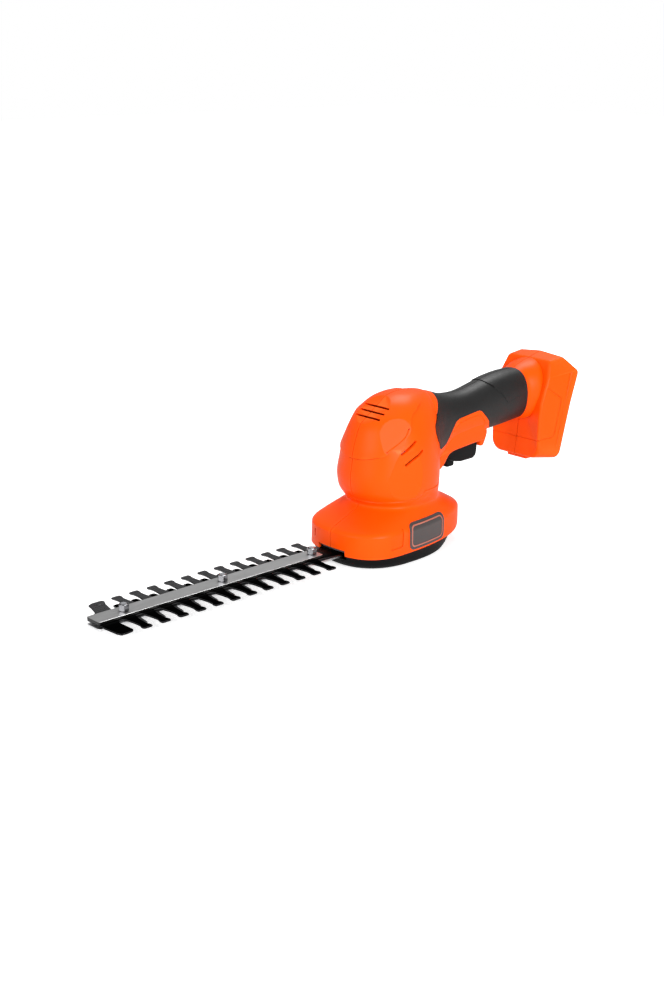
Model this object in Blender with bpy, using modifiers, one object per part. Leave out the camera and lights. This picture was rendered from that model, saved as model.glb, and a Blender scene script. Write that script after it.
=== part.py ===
"""Cordless shrub trimmer with a double-sided comb blade, built piece by piece.

+X points forward along the blade, +Y to the operator's left and +Z up. The origin
lies on the ground, under the shaft of the crank gear. Sizes are in metres.
"""

import math

import bmesh
import bpy
from mathutils import Matrix, Vector

MM = 0.001
GAP = 0.3 * MM

WALL = 2.4 * MM
GRIP_SKIN = 2.0 * MM

# Blade: plates stacked from the lower bar up, all measured from the ground
TOOTH_PITCH = 16 * MM
LOWER_BAR_Z = 7.5 * MM
LOWER_BAR_THICK = 1.5 * MM
COMB_THICK = 1.2 * MM
MOVING_Z = LOWER_BAR_Z + LOWER_BAR_THICK + GAP
FIXED_Z = MOVING_Z + COMB_THICK + GAP
UPPER_BAR_Z = FIXED_Z + COMB_THICK + GAP
UPPER_BAR_THICK = 2.0 * MM
BLADE_TIP_X = 288.5 * MM
BLADE_BOLT_X = (80.5 * MM, 171 * MM, 261.5 * MM)
BOLT_RADIUS = 2.5 * MM
HOLE_RADIUS = BOLT_RADIUS + GAP
FIRST_LEFT_TOOTH_X = 263.1 * MM
FIRST_RIGHT_TOOTH_X = 247.2 * MM
TEETH = 12
LEFT_SHORT_OFFSET = -4.4 * MM
RIGHT_SHORT_OFFSET = 6.8 * MM
STROKE = 5 * MM

# Teeth as half widths at distances from the middle, and the outlines (X, Y) of the two end teeth
LONG_TOOTH = ((5.2, 9), (3.2, 18), (2.7, 25), (3.75, 30), (2.6, 32.5))
SHORT_TOOTH = ((5.0, 9), (3.0, 20.6), (2.0, 22))
LEFT_TIP = (
    (288, 8), (288, 15), (287, 28), (286, 31.7), (280.8, 31.7), (275.9, 31), (274, 28.7), (274, 13),
    (272.5, 9),
)
RIGHT_TIP = (
    (288, -8), (275, -15), (270, -31), (266, -32.3), (259.5, -32.5), (258, -30), (260.5, -25), (264, -9),
)

# Drive: a pinion, a compound idler and a crank gear with an eccentric disc
MODULE = 0.8 * MM
PINION_TEETH = 12
WHEEL_TEETH = 40
CENTRE_DISTANCE = MODULE * (PINION_TEETH + WHEEL_TEETH) / 2
CRANK_THROW = 5.0 * MM
ECCENTRIC_RADIUS = 6 * MM
YOKE_PLAY = 0.5 * MM
MOTOR_X = -14 * MM
IDLER_X = MOTOR_X / 2
IDLER_Y = -math.sqrt(CENTRE_DISTANCE ** 2 - IDLER_X ** 2)
LOW_GEAR_Z = 19.5 * MM
LOW_GEAR_THICK = 5.5 * MM
HIGH_GEAR_Z = 28 * MM
HIGH_GEAR_THICK = 5 * MM
GEAR_PLATE_Z = 12.3 * MM
GEAR_PLATE_THICK = 4 * MM
COVER_Z = 35 * MM
COVER_THICK = 3.6 * MM
AXLE_RADIUS = 2 * MM
JOURNAL_RADIUS = 3.2 * MM

MOTOR_RADIUS = 18 * MM
MOTOR_BASE_Z = COVER_Z + COVER_THICK + GAP
MOTOR_CAN_HEIGHT = 50 * MM
END_BELL_HEIGHT = 8 * MM
SHAFT_RADIUS = 1.6 * MM

# Body and base: height, front, rear, half width, where it is widest, and the
# squareness of the plan in front of and behind that place
BODY_STATIONS = (
    (10.5, 59.8, -76.5, 43.9, 22, 2.6, 2.1),
    (14.0, 60.5, -77.7, 44.2, 22, 2.45, 2.1),
    (28.5, 60.5, -77.8, 44.2, 22, 2.4, 2.1),
    (31.0, 57.6, -75.2, 43.2, 21, 2.35, 2.1),
    (34.0, 51.0, -70.0, 41.3, 17, 2.3, 2.1),
    (37.0, 43.6, -64.5, 39.2, 12, 2.3, 2.1),
    (40.5, 35.6, -57.0, 36.7, 5, 2.25, 2.1),
    (43.5, 30.0, -52.0, 35.0, -2, 2.2, 2.1),
    (46.0, 29.3, -50.0, 35.2, -5, 2.1, 2.1),
    (50.0, 32.5, -49.0, 37.0, -5, 2.1, 2.1),
    (56.0, 36.6, -48.2, 39.0, -4, 2.1, 2.1),
    (63.0, 38.4, -48.0, 39.8, -4, 2.1, 2.1),
    (70.0, 38.6, -48.0, 40.0, -4, 2.1, 2.1),
    (80.0, 37.0, -48.0, 39.6, -4, 2.0, 2.1),
    (91.0, 34.8, -48.0, 38.4, -4, 1.95, 2.1),
    (101.0, 31.6, -48.0, 36.2, -5, 1.9, 2.1),
    (109.0, 28.2, -48.0, 33.4, -6, 1.9, 2.1),
    (116.0, 22.8, -47.5, 29.6, -8, 1.9, 2.1),
    (122.0, 14.5, -46.5, 24.8, -10, 1.9, 2.1),
    (126.5, 7.5, -45.0, 19.6, -12, 1.95, 2.1),
    (129.8, -1.0, -41.0, 13.6, -15, 2.0, 2.1),
    (131.6, -9.0, -33.0, 7.5, -18, 2.1, 2.1),
)
ROOM_LEVELS = (0, 2, 4, 6, 7, 8, 10, 13, 16, 18, 20)
BODY_SIDES = 28

# Handle: distance along X, top, underside and half width
HANDLE_STATIONS = (
    (-30, 130.0, 58.0, 27.0),
    (-42, 129.0, 60.0, 23.0),
    (-50, 127.0, 63.0, 20.0),
    (-58, 124.2, 70.0, 18.3),
    (-66, 122.2, 76.5, 17.3),
    (-80, 121.2, 79.0, 17.0),
    (-92, 122.2, 80.5, 17.0),
    (-104, 124.6, 81.5, 17.3),
    (-122, 128.4, 83.0, 17.9),
    (-140, 130.4, 84.5, 18.2),
    (-157, 130.8, 86.0, 17.8),
)
COLLAR_STATIONS = (
    (-150, 127.6, 89.0, 15.0),
    (-157.25, 128.2, 88.6, 15.3),
    (-157.35, 130.8, 86.0, 17.8),
    (-160, 132.0, 85.0, 18.8),
    (-164, 133.6, 84.0, 21.0),
    (-169, 135.2, 85.0, 22.8),
    (-174, 136.4, 90.0, 22.0),
    (-178.5, 137.0, 100.0, 18.5),
)
HANDLE_SIDES = 20
HANDLE_SQUARENESS = 2.3
GRIP_REAR_X = -157 * MM

# Foot: the plate that the battery slides onto, in front and rear outlines
FOOT_FRONT_CORNERS = ((27.5, 51.0, 10), (28.3, 123, 8), (24.2, 137.7, 4.5))
FOOT_REAR_CORNERS = ((36.5, 50.6, 8), (36.7, 127.0, 6), (24.5, 138.6, 7))
FOOT_FRONT_X = ((51, -164.5), (88, -164.5), (100, -166), (112, -170), (125, -175), (138, -180))
FOOT_REAR_X = ((51, -179.8), (78.4, -187.2), (100, -193.1), (123.3, -201.2), (127.5, -202), (143, -192))
FOOT_BREAKS = (78, 88, 100, 112)
FOOT_CROWN = 2.4

# Trigger zone of the handle and the guard around the trigger, seen from the side
TRIGGER_ZONE = (
    (-38, 56), (-42, 76), (-47.5, 81), (-55.3, 83.5), (-60, 90.5), (-67, 100.3), (-71, 102.3),
    (-95.5, 105.3), (-98.7, 104), (-108.5, 94.3), (-112, 88.5), (-116.5, 85.5), (-116.5, 56),
)
FRONT_ZONE = (
    (-20, 70), (-44, 74), (-47.5, 80.5), (-44.3, 90), (-39.9, 97.4), (-38.9, 104.6), (-42.5, 112),
    (-47, 121), (-50.5, 125), (-53, 135), (-20, 135),
)
GUARD_BLOCK = (
    (-42, 61), (-51.6, 61.2), (-56.1, 65.3), (-59, 69.5), (-62, 72.8), (-67.4, 74.6), (-91.1, 76.8),
    (-106, 77.6), (-106, 94), (-70, 94), (-58, 86), (-50, 80.3), (-42, 75),
)
GUARD_HALF = 15.5 * MM
TRIGGER_HUMP = (
    (-103.4, 90), (-103.4, 71.6), (-107.4, 71.3), (-109.6, 75.2), (-112.4, 82), (-111.8, 86.5), (-110, 90),
)
BATTERY_RAIL = ((-178, 62), (-182.5, 62), (-200, 126), (-194, 126))
TRIGGER_SIDE = (
    (-102.9, 84), (-102.9, 70.5), (-102.6, 66.4), (-101.2, 63), (-98, 61.1), (-83.5, 60.9),
    (-76, 62.2), (-69.5, 64.6), (-65.8, 67.6), (-64.2, 71), (-63.8, 75), (-63.8, 87.5), (-90, 87.5),
    (-93, 84),
)
TRIGGER_HALF = 9.5 * MM
LOCK_HALF = 4 * MM

# Sole: height, front, rear, half width, widest place and squareness, as for the body
SOLE_LEVELS = (
    (0.0, 53.0, -49.0, 39.5, 8, 2.4, 2.6),
    (0.9, 54.6, -51.5, 40.6, 10, 2.45, 2.6),
    (4.0, 57.0, -57.5, 42.0, 15, 2.5, 2.5),
    (10.2, 59.2, -64.0, 43.2, 20, 2.55, 2.4),
)
LATCH_OUTLINE = (
    (-65.2, 18), (-69, 16), (-73, 12), (-75.2, 7), (-75.2, -7), (-73, -12), (-69, -16), (-65.2, -18),
)

# Clamshell screws: X, Z and how far each boss reaches to both sides
SCREW_PLACES = ((40, 24, 39), (-50, 24, 29), (24, 60, 26), (12, 104, 25.6), (-53, 74, 15), (-120, 95, 11.6))
SCREW_HEAD_Y = -8 * MM

parts = None
cutters = None


def clear_scene():
    for obj in list(bpy.data.objects):
        bpy.data.objects.remove(obj, do_unlink=True)


def make_collection(name):
    collection = bpy.data.collections.new(name)
    bpy.context.scene.collection.children.link(collection)
    return collection


def material(name, colour, roughness, metallic=0.0):
    result = bpy.data.materials.get(name)
    if result is None:
        result = bpy.data.materials.new(name)
        result.use_nodes = True
        shader = result.node_tree.nodes["Principled BSDF"]
        shader.inputs["Base Color"].default_value = (*colour, 1.0)
        shader.inputs["Roughness"].default_value = roughness
        shader.inputs["Metallic"].default_value = metallic
        result.diffuse_color = (*colour, 1.0)
    return result


def orange_plastic():
    return material("orange_plastic", (1.0, 0.10, 0.01), 0.4)


def black_plastic():
    return material("black_plastic", (0.012, 0.012, 0.012), 0.5)


def grip_rubber():
    return material("grip_rubber", (0.03, 0.03, 0.032), 0.6)


def blade_steel():
    return material("blade_steel", (0.10, 0.10, 0.105), 0.35, 1.0)


def bar_steel():
    return material("bar_steel", (0.42, 0.42, 0.42), 0.4, 1.0)


def bright_steel():
    return material("bright_steel", (0.75, 0.75, 0.75), 0.25, 1.0)


def zinc_steel():
    return material("zinc_steel", (0.50, 0.51, 0.53), 0.4, 1.0)


def gear_steel():
    return material("gear_steel", (0.36, 0.36, 0.38), 0.45, 1.0)


def bronze():
    return material("bronze", (0.48, 0.30, 0.12), 0.4, 1.0)


def copper():
    return material("copper", (0.72, 0.33, 0.17), 0.35, 1.0)


def brass():
    return material("brass", (0.70, 0.52, 0.22), 0.3, 1.0)


def wire_red():
    return material("wire_red", (0.45, 0.01, 0.01), 0.45)


def wire_black():
    return material("wire_black", (0.015, 0.015, 0.015), 0.45)


def glass_nylon():
    return material("glass_nylon", (0.10, 0.10, 0.11), 0.55)


def grey_plastic():
    return material("grey_plastic", (0.09, 0.085, 0.085), 0.4)


def magnet_ferrite():
    return material("magnet_ferrite", (0.05, 0.05, 0.05), 0.7)


def link(obj, surface):
    """Put a mesh object among the parts, or among the cutters if it has no surface."""
    if surface is None:
        cutters.objects.link(obj)
        obj.hide_render = True
        obj.display_type = "WIRE"
    else:
        parts.objects.link(obj)
        obj.data.materials.clear()
        obj.data.materials.append(surface)
        obj.data.shade_smooth()
        obj.data.set_sharp_from_angle(angle=math.radians(32))
    return obj


def from_bmesh(name, bm, surface):
    mesh = bpy.data.meshes.new(name)
    bmesh.ops.recalc_face_normals(bm, faces=bm.faces)
    bm.to_mesh(mesh)
    bm.free()
    return link(bpy.data.objects.new(name, mesh), surface)


def box(name, low, high, surface=None, bevel=0.0):
    low = Vector(low)
    high = Vector(high)
    bm = bmesh.new()
    bmesh.ops.create_cube(bm, size=1.0)
    bmesh.ops.scale(bm, vec=high - low, verts=bm.verts)
    bmesh.ops.translate(bm, vec=(low + high) / 2, verts=bm.verts)
    obj = from_bmesh(name, bm, surface)
    if bevel:
        soften(obj, bevel)
    return obj


def soften(obj, width, segments=2, angle=40):
    bevel = obj.modifiers.new("soft_edges", "BEVEL")
    bevel.width = width
    bevel.segments = segments
    bevel.limit_method = "ANGLE"
    bevel.angle_limit = math.radians(angle)
    return bevel


def rod(name, start, end, radius, surface=None, sides=20, end_radius=None):
    """A round bar from start to end, tapered where end_radius is given."""
    start = Vector(start)
    end = Vector(end)
    bm = bmesh.new()
    bmesh.ops.create_cone(
        bm,
        cap_ends=True,
        segments=sides,
        radius1=radius,
        radius2=radius if end_radius is None else end_radius,
        depth=(end - start).length,
    )
    turn = Vector((0, 0, 1)).rotation_difference(end - start).to_matrix().to_4x4()
    place = Matrix.Translation((start + end) / 2) @ turn
    bmesh.ops.transform(bm, matrix=place, verts=bm.verts)
    return from_bmesh(name, bm, surface)


def turned(name, profile, centre, surface=None, sides=32):
    """Turn a closed profile of (radius, height) points about a vertical axis."""
    mesh = bpy.data.meshes.new(name)
    points = [(radius, 0.0, height) for radius, height in profile]
    edges = [(i, (i + 1) % len(points)) for i in range(len(points))]
    edges = [(i, j) for i, j in edges if points[i][0] or points[j][0]]
    mesh.from_pydata(points, edges, [])
    obj = bpy.data.objects.new(name, mesh)
    obj.location = centre
    cutters.objects.link(obj)
    screw = obj.modifiers.new("turn", "SCREW")
    screw.axis = "Z"
    screw.steps = sides
    screw.render_steps = sides
    screw.use_merge_vertices = True
    screw.merge_threshold = 0.00001
    screw.use_normal_calculate = True
    return settle(obj, surface)


def settle(obj, surface=None):
    """Replace an object by one that holds its evaluated mesh, welded and closed."""
    bpy.context.view_layer.update()
    graph = bpy.context.evaluated_depsgraph_get()
    mesh = bpy.data.meshes.new_from_object(obj.evaluated_get(graph))
    mesh.transform(obj.matrix_world)
    name = obj.name
    bpy.data.objects.remove(obj, do_unlink=True)
    bm = bmesh.new()
    bm.from_mesh(mesh)
    bmesh.ops.remove_doubles(bm, verts=bm.verts, dist=0.000002)
    bmesh.ops.dissolve_degenerate(bm, edges=bm.edges, dist=0.000002)
    bmesh.ops.recalc_face_normals(bm, faces=bm.faces)
    bm.to_mesh(mesh)
    bm.free()
    mesh.name = name
    return link(bpy.data.objects.new(name, mesh), surface)


def combine(obj, other, operation="DIFFERENCE"):
    change = obj.modifiers.new(operation.lower(), "BOOLEAN")
    change.operation = operation
    change.object = other
    change.solver = "EXACT"
    return obj


def plate(name, outlines, low, high, surface=None):
    """A flat plate between two heights; outlines after the first are its holes."""
    curve = bpy.data.curves.new(name, "CURVE")
    curve.dimensions = "2D"
    curve.fill_mode = "BOTH"
    curve.extrude = (high - low) / 2
    for outline in outlines:
        spline = curve.splines.new("POLY")
        spline.points.add(len(outline) - 1)
        for point, (x, y) in zip(spline.points, outline):
            point.co = (x, y, 0.0, 1.0)
        spline.use_cyclic_u = True
    obj = bpy.data.objects.new(name, curve)
    obj.location.z = (low + high) / 2
    cutters.objects.link(obj)
    return settle(obj, surface)


def side_prism(name, outline, low_y, high_y, surface=None):
    """A prism along Y from an outline of (x, z) points."""
    obj = plate(name, [outline], -high_y, -low_y)
    obj.data.transform(Matrix.Rotation(math.radians(90), 4, "X"))
    if surface is not None:
        cutters.objects.unlink(obj)
        obj.hide_render = False
        obj.display_type = "TEXTURED"
        link(obj, surface)
    return obj


def outline_mm(points):
    return [(x * MM, y * MM) for x, y in points]


def inset_outline(points, distance):
    """Move each corner of a closed outline inward along its bisector."""
    area = sum(x0 * y1 - x1 * y0 for (x0, y0), (x1, y1) in zip(points, points[1:] + points[:1]))
    turn = 1 if area > 0 else -1
    result = []
    for i, point in enumerate(points):
        here = Vector(point)
        before = (here - Vector(points[i - 1])).normalized()
        after = (Vector(points[(i + 1) % len(points)]) - here).normalized()
        inward = Vector((-before.y - after.y, before.x + after.x)).normalized() * turn
        scale = max(0.5, inward.dot(Vector((-before.y, before.x)) * turn))
        result.append(tuple(here + inward * distance / scale))
    return result


def soft_prism(name, outline, half, edge, surface=None):
    """A prism along Y from an (x, z) outline, with its two rims chamfered twice."""
    rings = []
    for y, inset in ((-half, edge), (edge * 0.7 - half, edge * 0.25), (2 * edge - half, 0.0)):
        ring = inset_outline(outline, inset) if inset else outline
        rings.append([(x, y, z) for x, z in ring])
    rings += [[(x, -y, z) for x, y, z in ring] for ring in reversed(rings)]
    return loft(name, rings, surface)


def loft(name, rings, surface=None, bent_ends=False):
    """Skin rings of equal point counts, in order, and close both ends.

    Bent ends belong to rings that are mirrored left and right of their first point;
    they are closed by level strips from one side to the other.
    """
    bm = bmesh.new()
    rows = [[bm.verts.new(point) for point in ring] for ring in rings]
    for lower, upper in zip(rows, rows[1:]):
        for i in range(len(lower)):
            j = (i + 1) % len(lower)
            bm.faces.new((lower[i], lower[j], upper[j], upper[i]))
    for row in (rows[0], rows[-1]):
        if not bent_ends:
            bm.faces.new(row)
            continue
        count = len(row)
        bm.faces.new((row[0], row[1], row[-1]))
        for i in range(1, count // 2 - 1):
            bm.faces.new((row[i], row[i + 1], row[count - i - 1], row[count - i]))
        bm.faces.new((row[count // 2 - 1], row[count // 2], row[count // 2 + 1]))
    sides = [face for face in bm.faces if len(face.verts) == 4]
    bmesh.ops.triangulate(bm, faces=sides)
    return from_bmesh(name, bm, surface)


def circle(x, y, radius, sides=20):
    step = 2 * math.pi / sides
    return [(x + radius * math.cos(i * step), y + radius * math.sin(i * step)) for i in range(sides)]


def slot_outline(x, y, half_length, radius, sides=8):
    """A slot along X with round ends."""
    points = []
    for i in range(sides + 1):
        angle = -math.pi / 2 + math.pi * i / sides
        points.append((x + half_length - radius + radius * math.cos(angle), y + radius * math.sin(angle)))
    for i in range(sides + 1):
        angle = math.pi / 2 + math.pi * i / sides
        points.append((x - half_length + radius + radius * math.cos(angle), y + radius * math.sin(angle)))
    return points


def signed_power(value, power):
    return math.copysign(abs(value) ** power, value)


def rounded(corners, steps=3):
    """Round each (x, y, radius) corner of a closed outline with a short arc."""
    outline = []
    count = len(corners)
    for i, (x, y, radius) in enumerate(corners):
        here = Vector((x, y))
        before = (Vector(corners[i - 1][:2]) - here).normalized()
        after = (Vector(corners[(i + 1) % count][:2]) - here).normalized()
        half = math.acos(max(-1.0, min(1.0, before.dot(after)))) / 2
        if radius == 0:
            outline.append((x, y))
            continue
        centre = here + (before + after).normalized() * (radius / math.sin(half))
        start = here + before * (radius / math.tan(half)) - centre
        end = here + after * (radius / math.tan(half)) - centre
        sweep = start.angle_signed(end)
        for k in range(steps + 1):
            turn = Matrix.Rotation(-sweep * k / steps, 2)
            outline.append(tuple(centre + turn @ start))
    return outline


def interpolate(table, key):
    for (k0, v0), (k1, v1) in zip(table, table[1:]):
        if key <= k1:
            return v0 + (v1 - v0) * (key - k0) / (k1 - k0)
    return table[-1][1]


def plan_ring(front, rear, half, widest, square_front, square_rear, height):
    """A squared oval, unlike in front of and behind its widest place."""
    ring = []
    for i in range(BODY_SIDES):
        angle = 2 * math.pi * i / BODY_SIDES
        ahead = math.cos(angle) >= 0
        reach = front - widest if ahead else widest - rear
        square = 2 / (square_front if ahead else square_rear)
        x = widest + reach * signed_power(math.cos(angle), square)
        ring.append((x, half * signed_power(math.sin(angle), square), height))
    return ring


def body_ring(station, inset, height=None):
    level, front, rear, half, widest, square_front, square_rear = station
    return plan_ring(
        front * MM - inset,
        rear * MM + inset,
        half * MM - inset,
        widest * MM,
        square_front,
        square_rear,
        level * MM if height is None else height,
    )


def body_form(name, inset=0.0, floor=None, levels=None):
    """The body's outside, shrunk by inset; its crown comes down by as much."""
    stations = BODY_STATIONS if levels is None else [BODY_STATIONS[i] for i in levels]
    rings = []
    if floor is not None:
        rings.append(body_ring(stations[0], inset, floor))
    top = BODY_STATIONS[-1][0] * MM
    for station in stations:
        if station[3] * MM - inset < 4 * MM:
            continue
        shrink = inset * max(0.0, (station[0] * MM - top / 2) / (top / 2)) ** 2
        rings.append(body_ring(station, inset, station[0] * MM - shrink))
    return loft(name, rings)


def handle_form(name, stations, inset=0.0, first_x=None, last_x=None):
    rings = []
    for x, top, underside, half in stations:
        centre = (top + underside) / 2 * MM
        rise = (top - underside) / 2 * MM - inset
        width = half * MM - inset
        ring = []
        for i in range(HANDLE_SIDES):
            angle = 2 * math.pi * i / HANDLE_SIDES
            y = width * signed_power(math.cos(angle), 2 / HANDLE_SQUARENESS)
            z = centre + rise * signed_power(math.sin(angle), 2 / HANDLE_SQUARENESS)
            ring.append((x * MM, y, z))
        rings.append(ring)
    if first_x is not None:
        rings[0] = [(first_x, y, z) for x, y, z in rings[0]]
    if last_x is not None:
        rings[-1] = [(last_x, y, z) for x, y, z in rings[-1]]
    return loft(name, rings)


def foot_ring(corners, profile, crown, inset=0.0, shift=0.0):
    """An upright outline of the foot, leaning along X as the profile says."""
    right = [(y - inset / MM, z + (inset if z < 60 else -inset) / MM, r) for y, z, r in corners]
    (y0, z0, r0), (y1, z1, r1) = right[:2]
    right[1:1] = [(y0 + (y1 - y0) * (z - z0) / (z1 - z0), z, 0) for z in FOOT_BREAKS]
    left = [(-y, z, r) for y, z, r in reversed(right)]
    bottom = right[0][1]
    top = right[-1][1]
    outline = rounded([(0, bottom - 0.3, 0), *right, (0, top + crown + 0.3, 0), *left])
    return [(interpolate(profile, z) * MM + shift, y * MM, z * MM) for y, z in outline]


def build_housing():
    """Two clamshell halves: base, body, handle core and battery foot in one skin."""
    core = handle_form("handle_core", HANDLE_STATIONS, inset=GRIP_SKIN, first_x=-29 * MM)
    for name, zone in (("guard", TRIGGER_ZONE), ("head_joint", FRONT_ZONE)):
        skin = side_prism(name, outline_mm(zone), -30 * MM, 30 * MM)
        combine(skin, handle_form(name + "_outer", HANDLE_STATIONS), "INTERSECT")
        combine(core, skin, "UNION")
    core = settle(core)
    combine(core, handle_form("collar", COLLAR_STATIONS), "UNION")
    combine(core, soft_prism("guard_block", outline_mm(GUARD_BLOCK), GUARD_HALF, 1.6 * MM), "UNION")
    combine(core, soft_prism("hump", outline_mm(TRIGGER_HUMP), 12 * MM, 1.0 * MM), "UNION")
    core = settle(core)
    shell = body_form("shell")
    combine(shell, core, "UNION")
    front_ring = foot_ring(FOOT_FRONT_CORNERS, FOOT_FRONT_X, 0)
    nose_ring = foot_ring(FOOT_FRONT_CORNERS, FOOT_FRONT_X, 0, inset=1.2 * MM, shift=1.2 * MM)
    rear_ring = foot_ring(FOOT_REAR_CORNERS, FOOT_REAR_X, FOOT_CROWN)
    combine(shell, loft("foot", [nose_ring, front_ring, rear_ring], bent_ends=True), "UNION")
    combine(shell, box("foot_tab", (-176 * MM, -11 * MM, 47.8 * MM), (-166 * MM, 11 * MM, 54 * MM)), "UNION")
    shell = settle(shell)

    combine(shell, body_form("body_room", inset=WALL, floor=9 * MM, levels=ROOM_LEVELS))
    handle_room = handle_form(
        "handle_room", HANDLE_STATIONS[::2] + HANDLE_STATIONS[-1:], inset=GRIP_SKIN + WALL, last_x=-160 * MM
    )
    combine(shell, handle_room)
    pocket_front = foot_ring(FOOT_FRONT_CORNERS, FOOT_FRONT_X, 0, inset=1.0 * MM, shift=-5 * MM)
    pocket_rear = foot_ring(FOOT_REAR_CORNERS, FOOT_REAR_X, FOOT_CROWN, inset=2.6 * MM, shift=-6 * MM)
    combine(shell, loft("battery_pocket", [pocket_front, pocket_rear], bent_ends=True))
    combine(shell, box("pocket_mouth", (-230 * MM, -26 * MM, 40 * MM), (-178 * MM, 26 * MM, 60 * MM)))
    shell = settle(shell)

    rear_floor = box("rear_floor", (-79 * MM, -30 * MM, 10.6 * MM), (-57 * MM, 30 * MM, 13 * MM))
    combine(rear_floor, body_form("floor_limit", inset=1.0 * MM, levels=ROOM_LEVELS), "INTERSECT")
    combine(shell, rear_floor, "UNION")
    motor_rib = box("motor_rib", (-52 * MM, -44 * MM, 92.5 * MM), (40 * MM, 44 * MM, 95.5 * MM))
    combine(motor_rib, body_form("rib_limit", inset=1.0 * MM), "INTERSECT")
    seat_ends = ((MOTOR_X, 0, 90 * MM), (MOTOR_X, 0, 99 * MM))
    motor_seat = rod("motor_seat", *seat_ends, MOTOR_RADIUS + 2 * GAP, sides=28)
    combine(motor_rib, motor_seat)
    combine(shell, motor_rib, "UNION")
    seat = box("terminal_seat", (-175.1 * MM, -13 * MM, 84 * MM), (-167 * MM, 13 * MM, 108 * MM))
    combine(shell, seat, "UNION")
    for side in (-1, 1):
        ends = sorted((side * 28 * MM, side * 35 * MM))
        combine(shell, side_prism(f"rail_{side}", outline_mm(BATTERY_RAIL), *ends), "UNION")
    for x, z, reach in SCREW_PLACES:
        ends = ((x * MM, -reach * MM, z * MM), (x * MM, reach * MM, z * MM))
        combine(shell, rod(f"boss_{x}_{z}", *ends, 4 * MM, sides=12), "UNION")
    shell = settle(shell)

    slot_half = TRIGGER_HALF + GAP
    openings = [
        box("trigger_slot", (-103.3 * MM, -slot_half, 60 * MM), (-63.4 * MM, slot_half, 94 * MM)),
        box("blade_slot", (40 * MM, -15.5 * MM, 0), (70 * MM, 15.5 * MM, 15.3 * MM)),
        box("latch_slot", (-74.5 * MM, -4.5 * MM, 5 * MM), (-64 * MM, 4.5 * MM, 20 * MM)),
        rod("wire_way", (-150 * MM, 0, 96 * MM), (-180 * MM, 0, 96 * MM), 5 * MM),
    ]
    for cutter in (*openings, *vent_cutters(), *screw_cutters()):
        combine(shell, cutter)
    shell = settle(shell)

    for name, low, high in (("housing_left", GAP / 2, 60 * MM), ("housing_right", -60 * MM, -GAP / 2)):
        half = shell.copy()
        half.data = shell.data.copy()
        half.name = name
        cutters.objects.link(half)
        side_box = box(name + "_side", (-260 * MM, low, -10 * MM), (120 * MM, high, 160 * MM))
        combine(half, side_box, "INTERSECT")
        settle(half, orange_plastic())


def vent_cutters():
    """Three slots across the crown of the body and two slanted ones in each side."""
    result = []
    for number, (x, z) in enumerate(((10, 123.9), (14.8, 120), (19.6, 116.3))):
        slot = box(f"top_vent_{number}", (-7 * MM, -14 * MM, -0.8 * MM), (7 * MM, 14 * MM, 0.8 * MM))
        place = Matrix.Translation((x * MM, 0, z * MM))
        slot.data.transform(place @ Matrix.Rotation(math.radians(-32), 4, "Y"))
        result.append(slot)
    for side in (-1, 1):
        for number, (x, z, half) in enumerate(((7.2, 96.3, 7 * MM), (3.5, 86.5, 9 * MM))):
            slot = box(f"side_vent_{side}_{number}", (-half, -8 * MM, -0.8 * MM), (half, 8 * MM, 0.8 * MM))
            place = Matrix.Translation((x * MM, side * 37 * MM, z * MM))
            slot.data.transform(place @ Matrix.Rotation(math.radians(28), 4, "Y"))
            result.append(slot)
    return result


def screw_cutters():
    result = []
    for x, z, reach in SCREW_PLACES:
        head = (x * MM, SCREW_HEAD_Y, z * MM)
        shank_ends = ((x * MM, SCREW_HEAD_Y - 2 * MM, z * MM), (x * MM, 9 * MM, z * MM))
        result.append(rod(f"shank_way_{x}_{z}", *shank_ends, 1.8 * MM, sides=10))
        result.append(rod(f"head_way_{x}_{z}", (x * MM, -60 * MM, z * MM), head, 3.1 * MM, sides=10))
    return result


def build_screws():
    """Pan-head screws driven in from the right, one in each boss."""
    for number, (x, z, reach) in enumerate(SCREW_PLACES, start=1):
        seat = SCREW_HEAD_Y - GAP
        under_head = (x * MM, seat, z * MM)
        crown = (x * MM, seat - 2 * MM, z * MM)
        screw = rod(f"housing_screw_{number}", under_head, crown, 2.8 * MM, sides=12, end_radius=2.2 * MM)
        shank_ends = ((x * MM, seat - 1 * MM, z * MM), (x * MM, 8 * MM, z * MM))
        combine(screw, rod(f"shank_{number}", *shank_ends, 1.5 * MM, sides=12), "UNION")
        settle(screw, bright_steel())


def build_grips():
    """Soft skin over the handle, moulded round the trigger zone."""
    skin = handle_form("grip", HANDLE_STATIONS)
    ends = {"first_x": -20 * MM, "last_x": -165 * MM}
    combine(skin, handle_form("grip_inside", HANDLE_STATIONS, GRIP_SKIN - GAP, **ends))
    combine(skin, body_form("grip_front", inset=-GAP))
    skin = settle(skin)
    for name, zone in (("trigger_zone", TRIGGER_ZONE), ("front_zone", FRONT_ZONE)):
        grown = inset_outline(outline_mm(zone), -GAP)
        combine(skin, side_prism(name, grown, -40 * MM, 40 * MM))
    combine(skin, box("grip_rear", (-190 * MM, -40 * MM, 60 * MM), (GRIP_REAR_X, 40 * MM, 160 * MM)))
    skin = settle(skin)
    for name, low, high in (("grip_left", GAP / 2, 60 * MM), ("grip_right", -60 * MM, -GAP / 2)):
        half = skin.copy()
        half.data = skin.data.copy()
        half.name = name
        cutters.objects.link(half)
        side_box = box(name + "_side", (-260 * MM, low, -10 * MM), (120 * MM, high, 160 * MM))
        combine(half, side_box, "INTERSECT")
        settle(half, grip_rubber())


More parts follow.
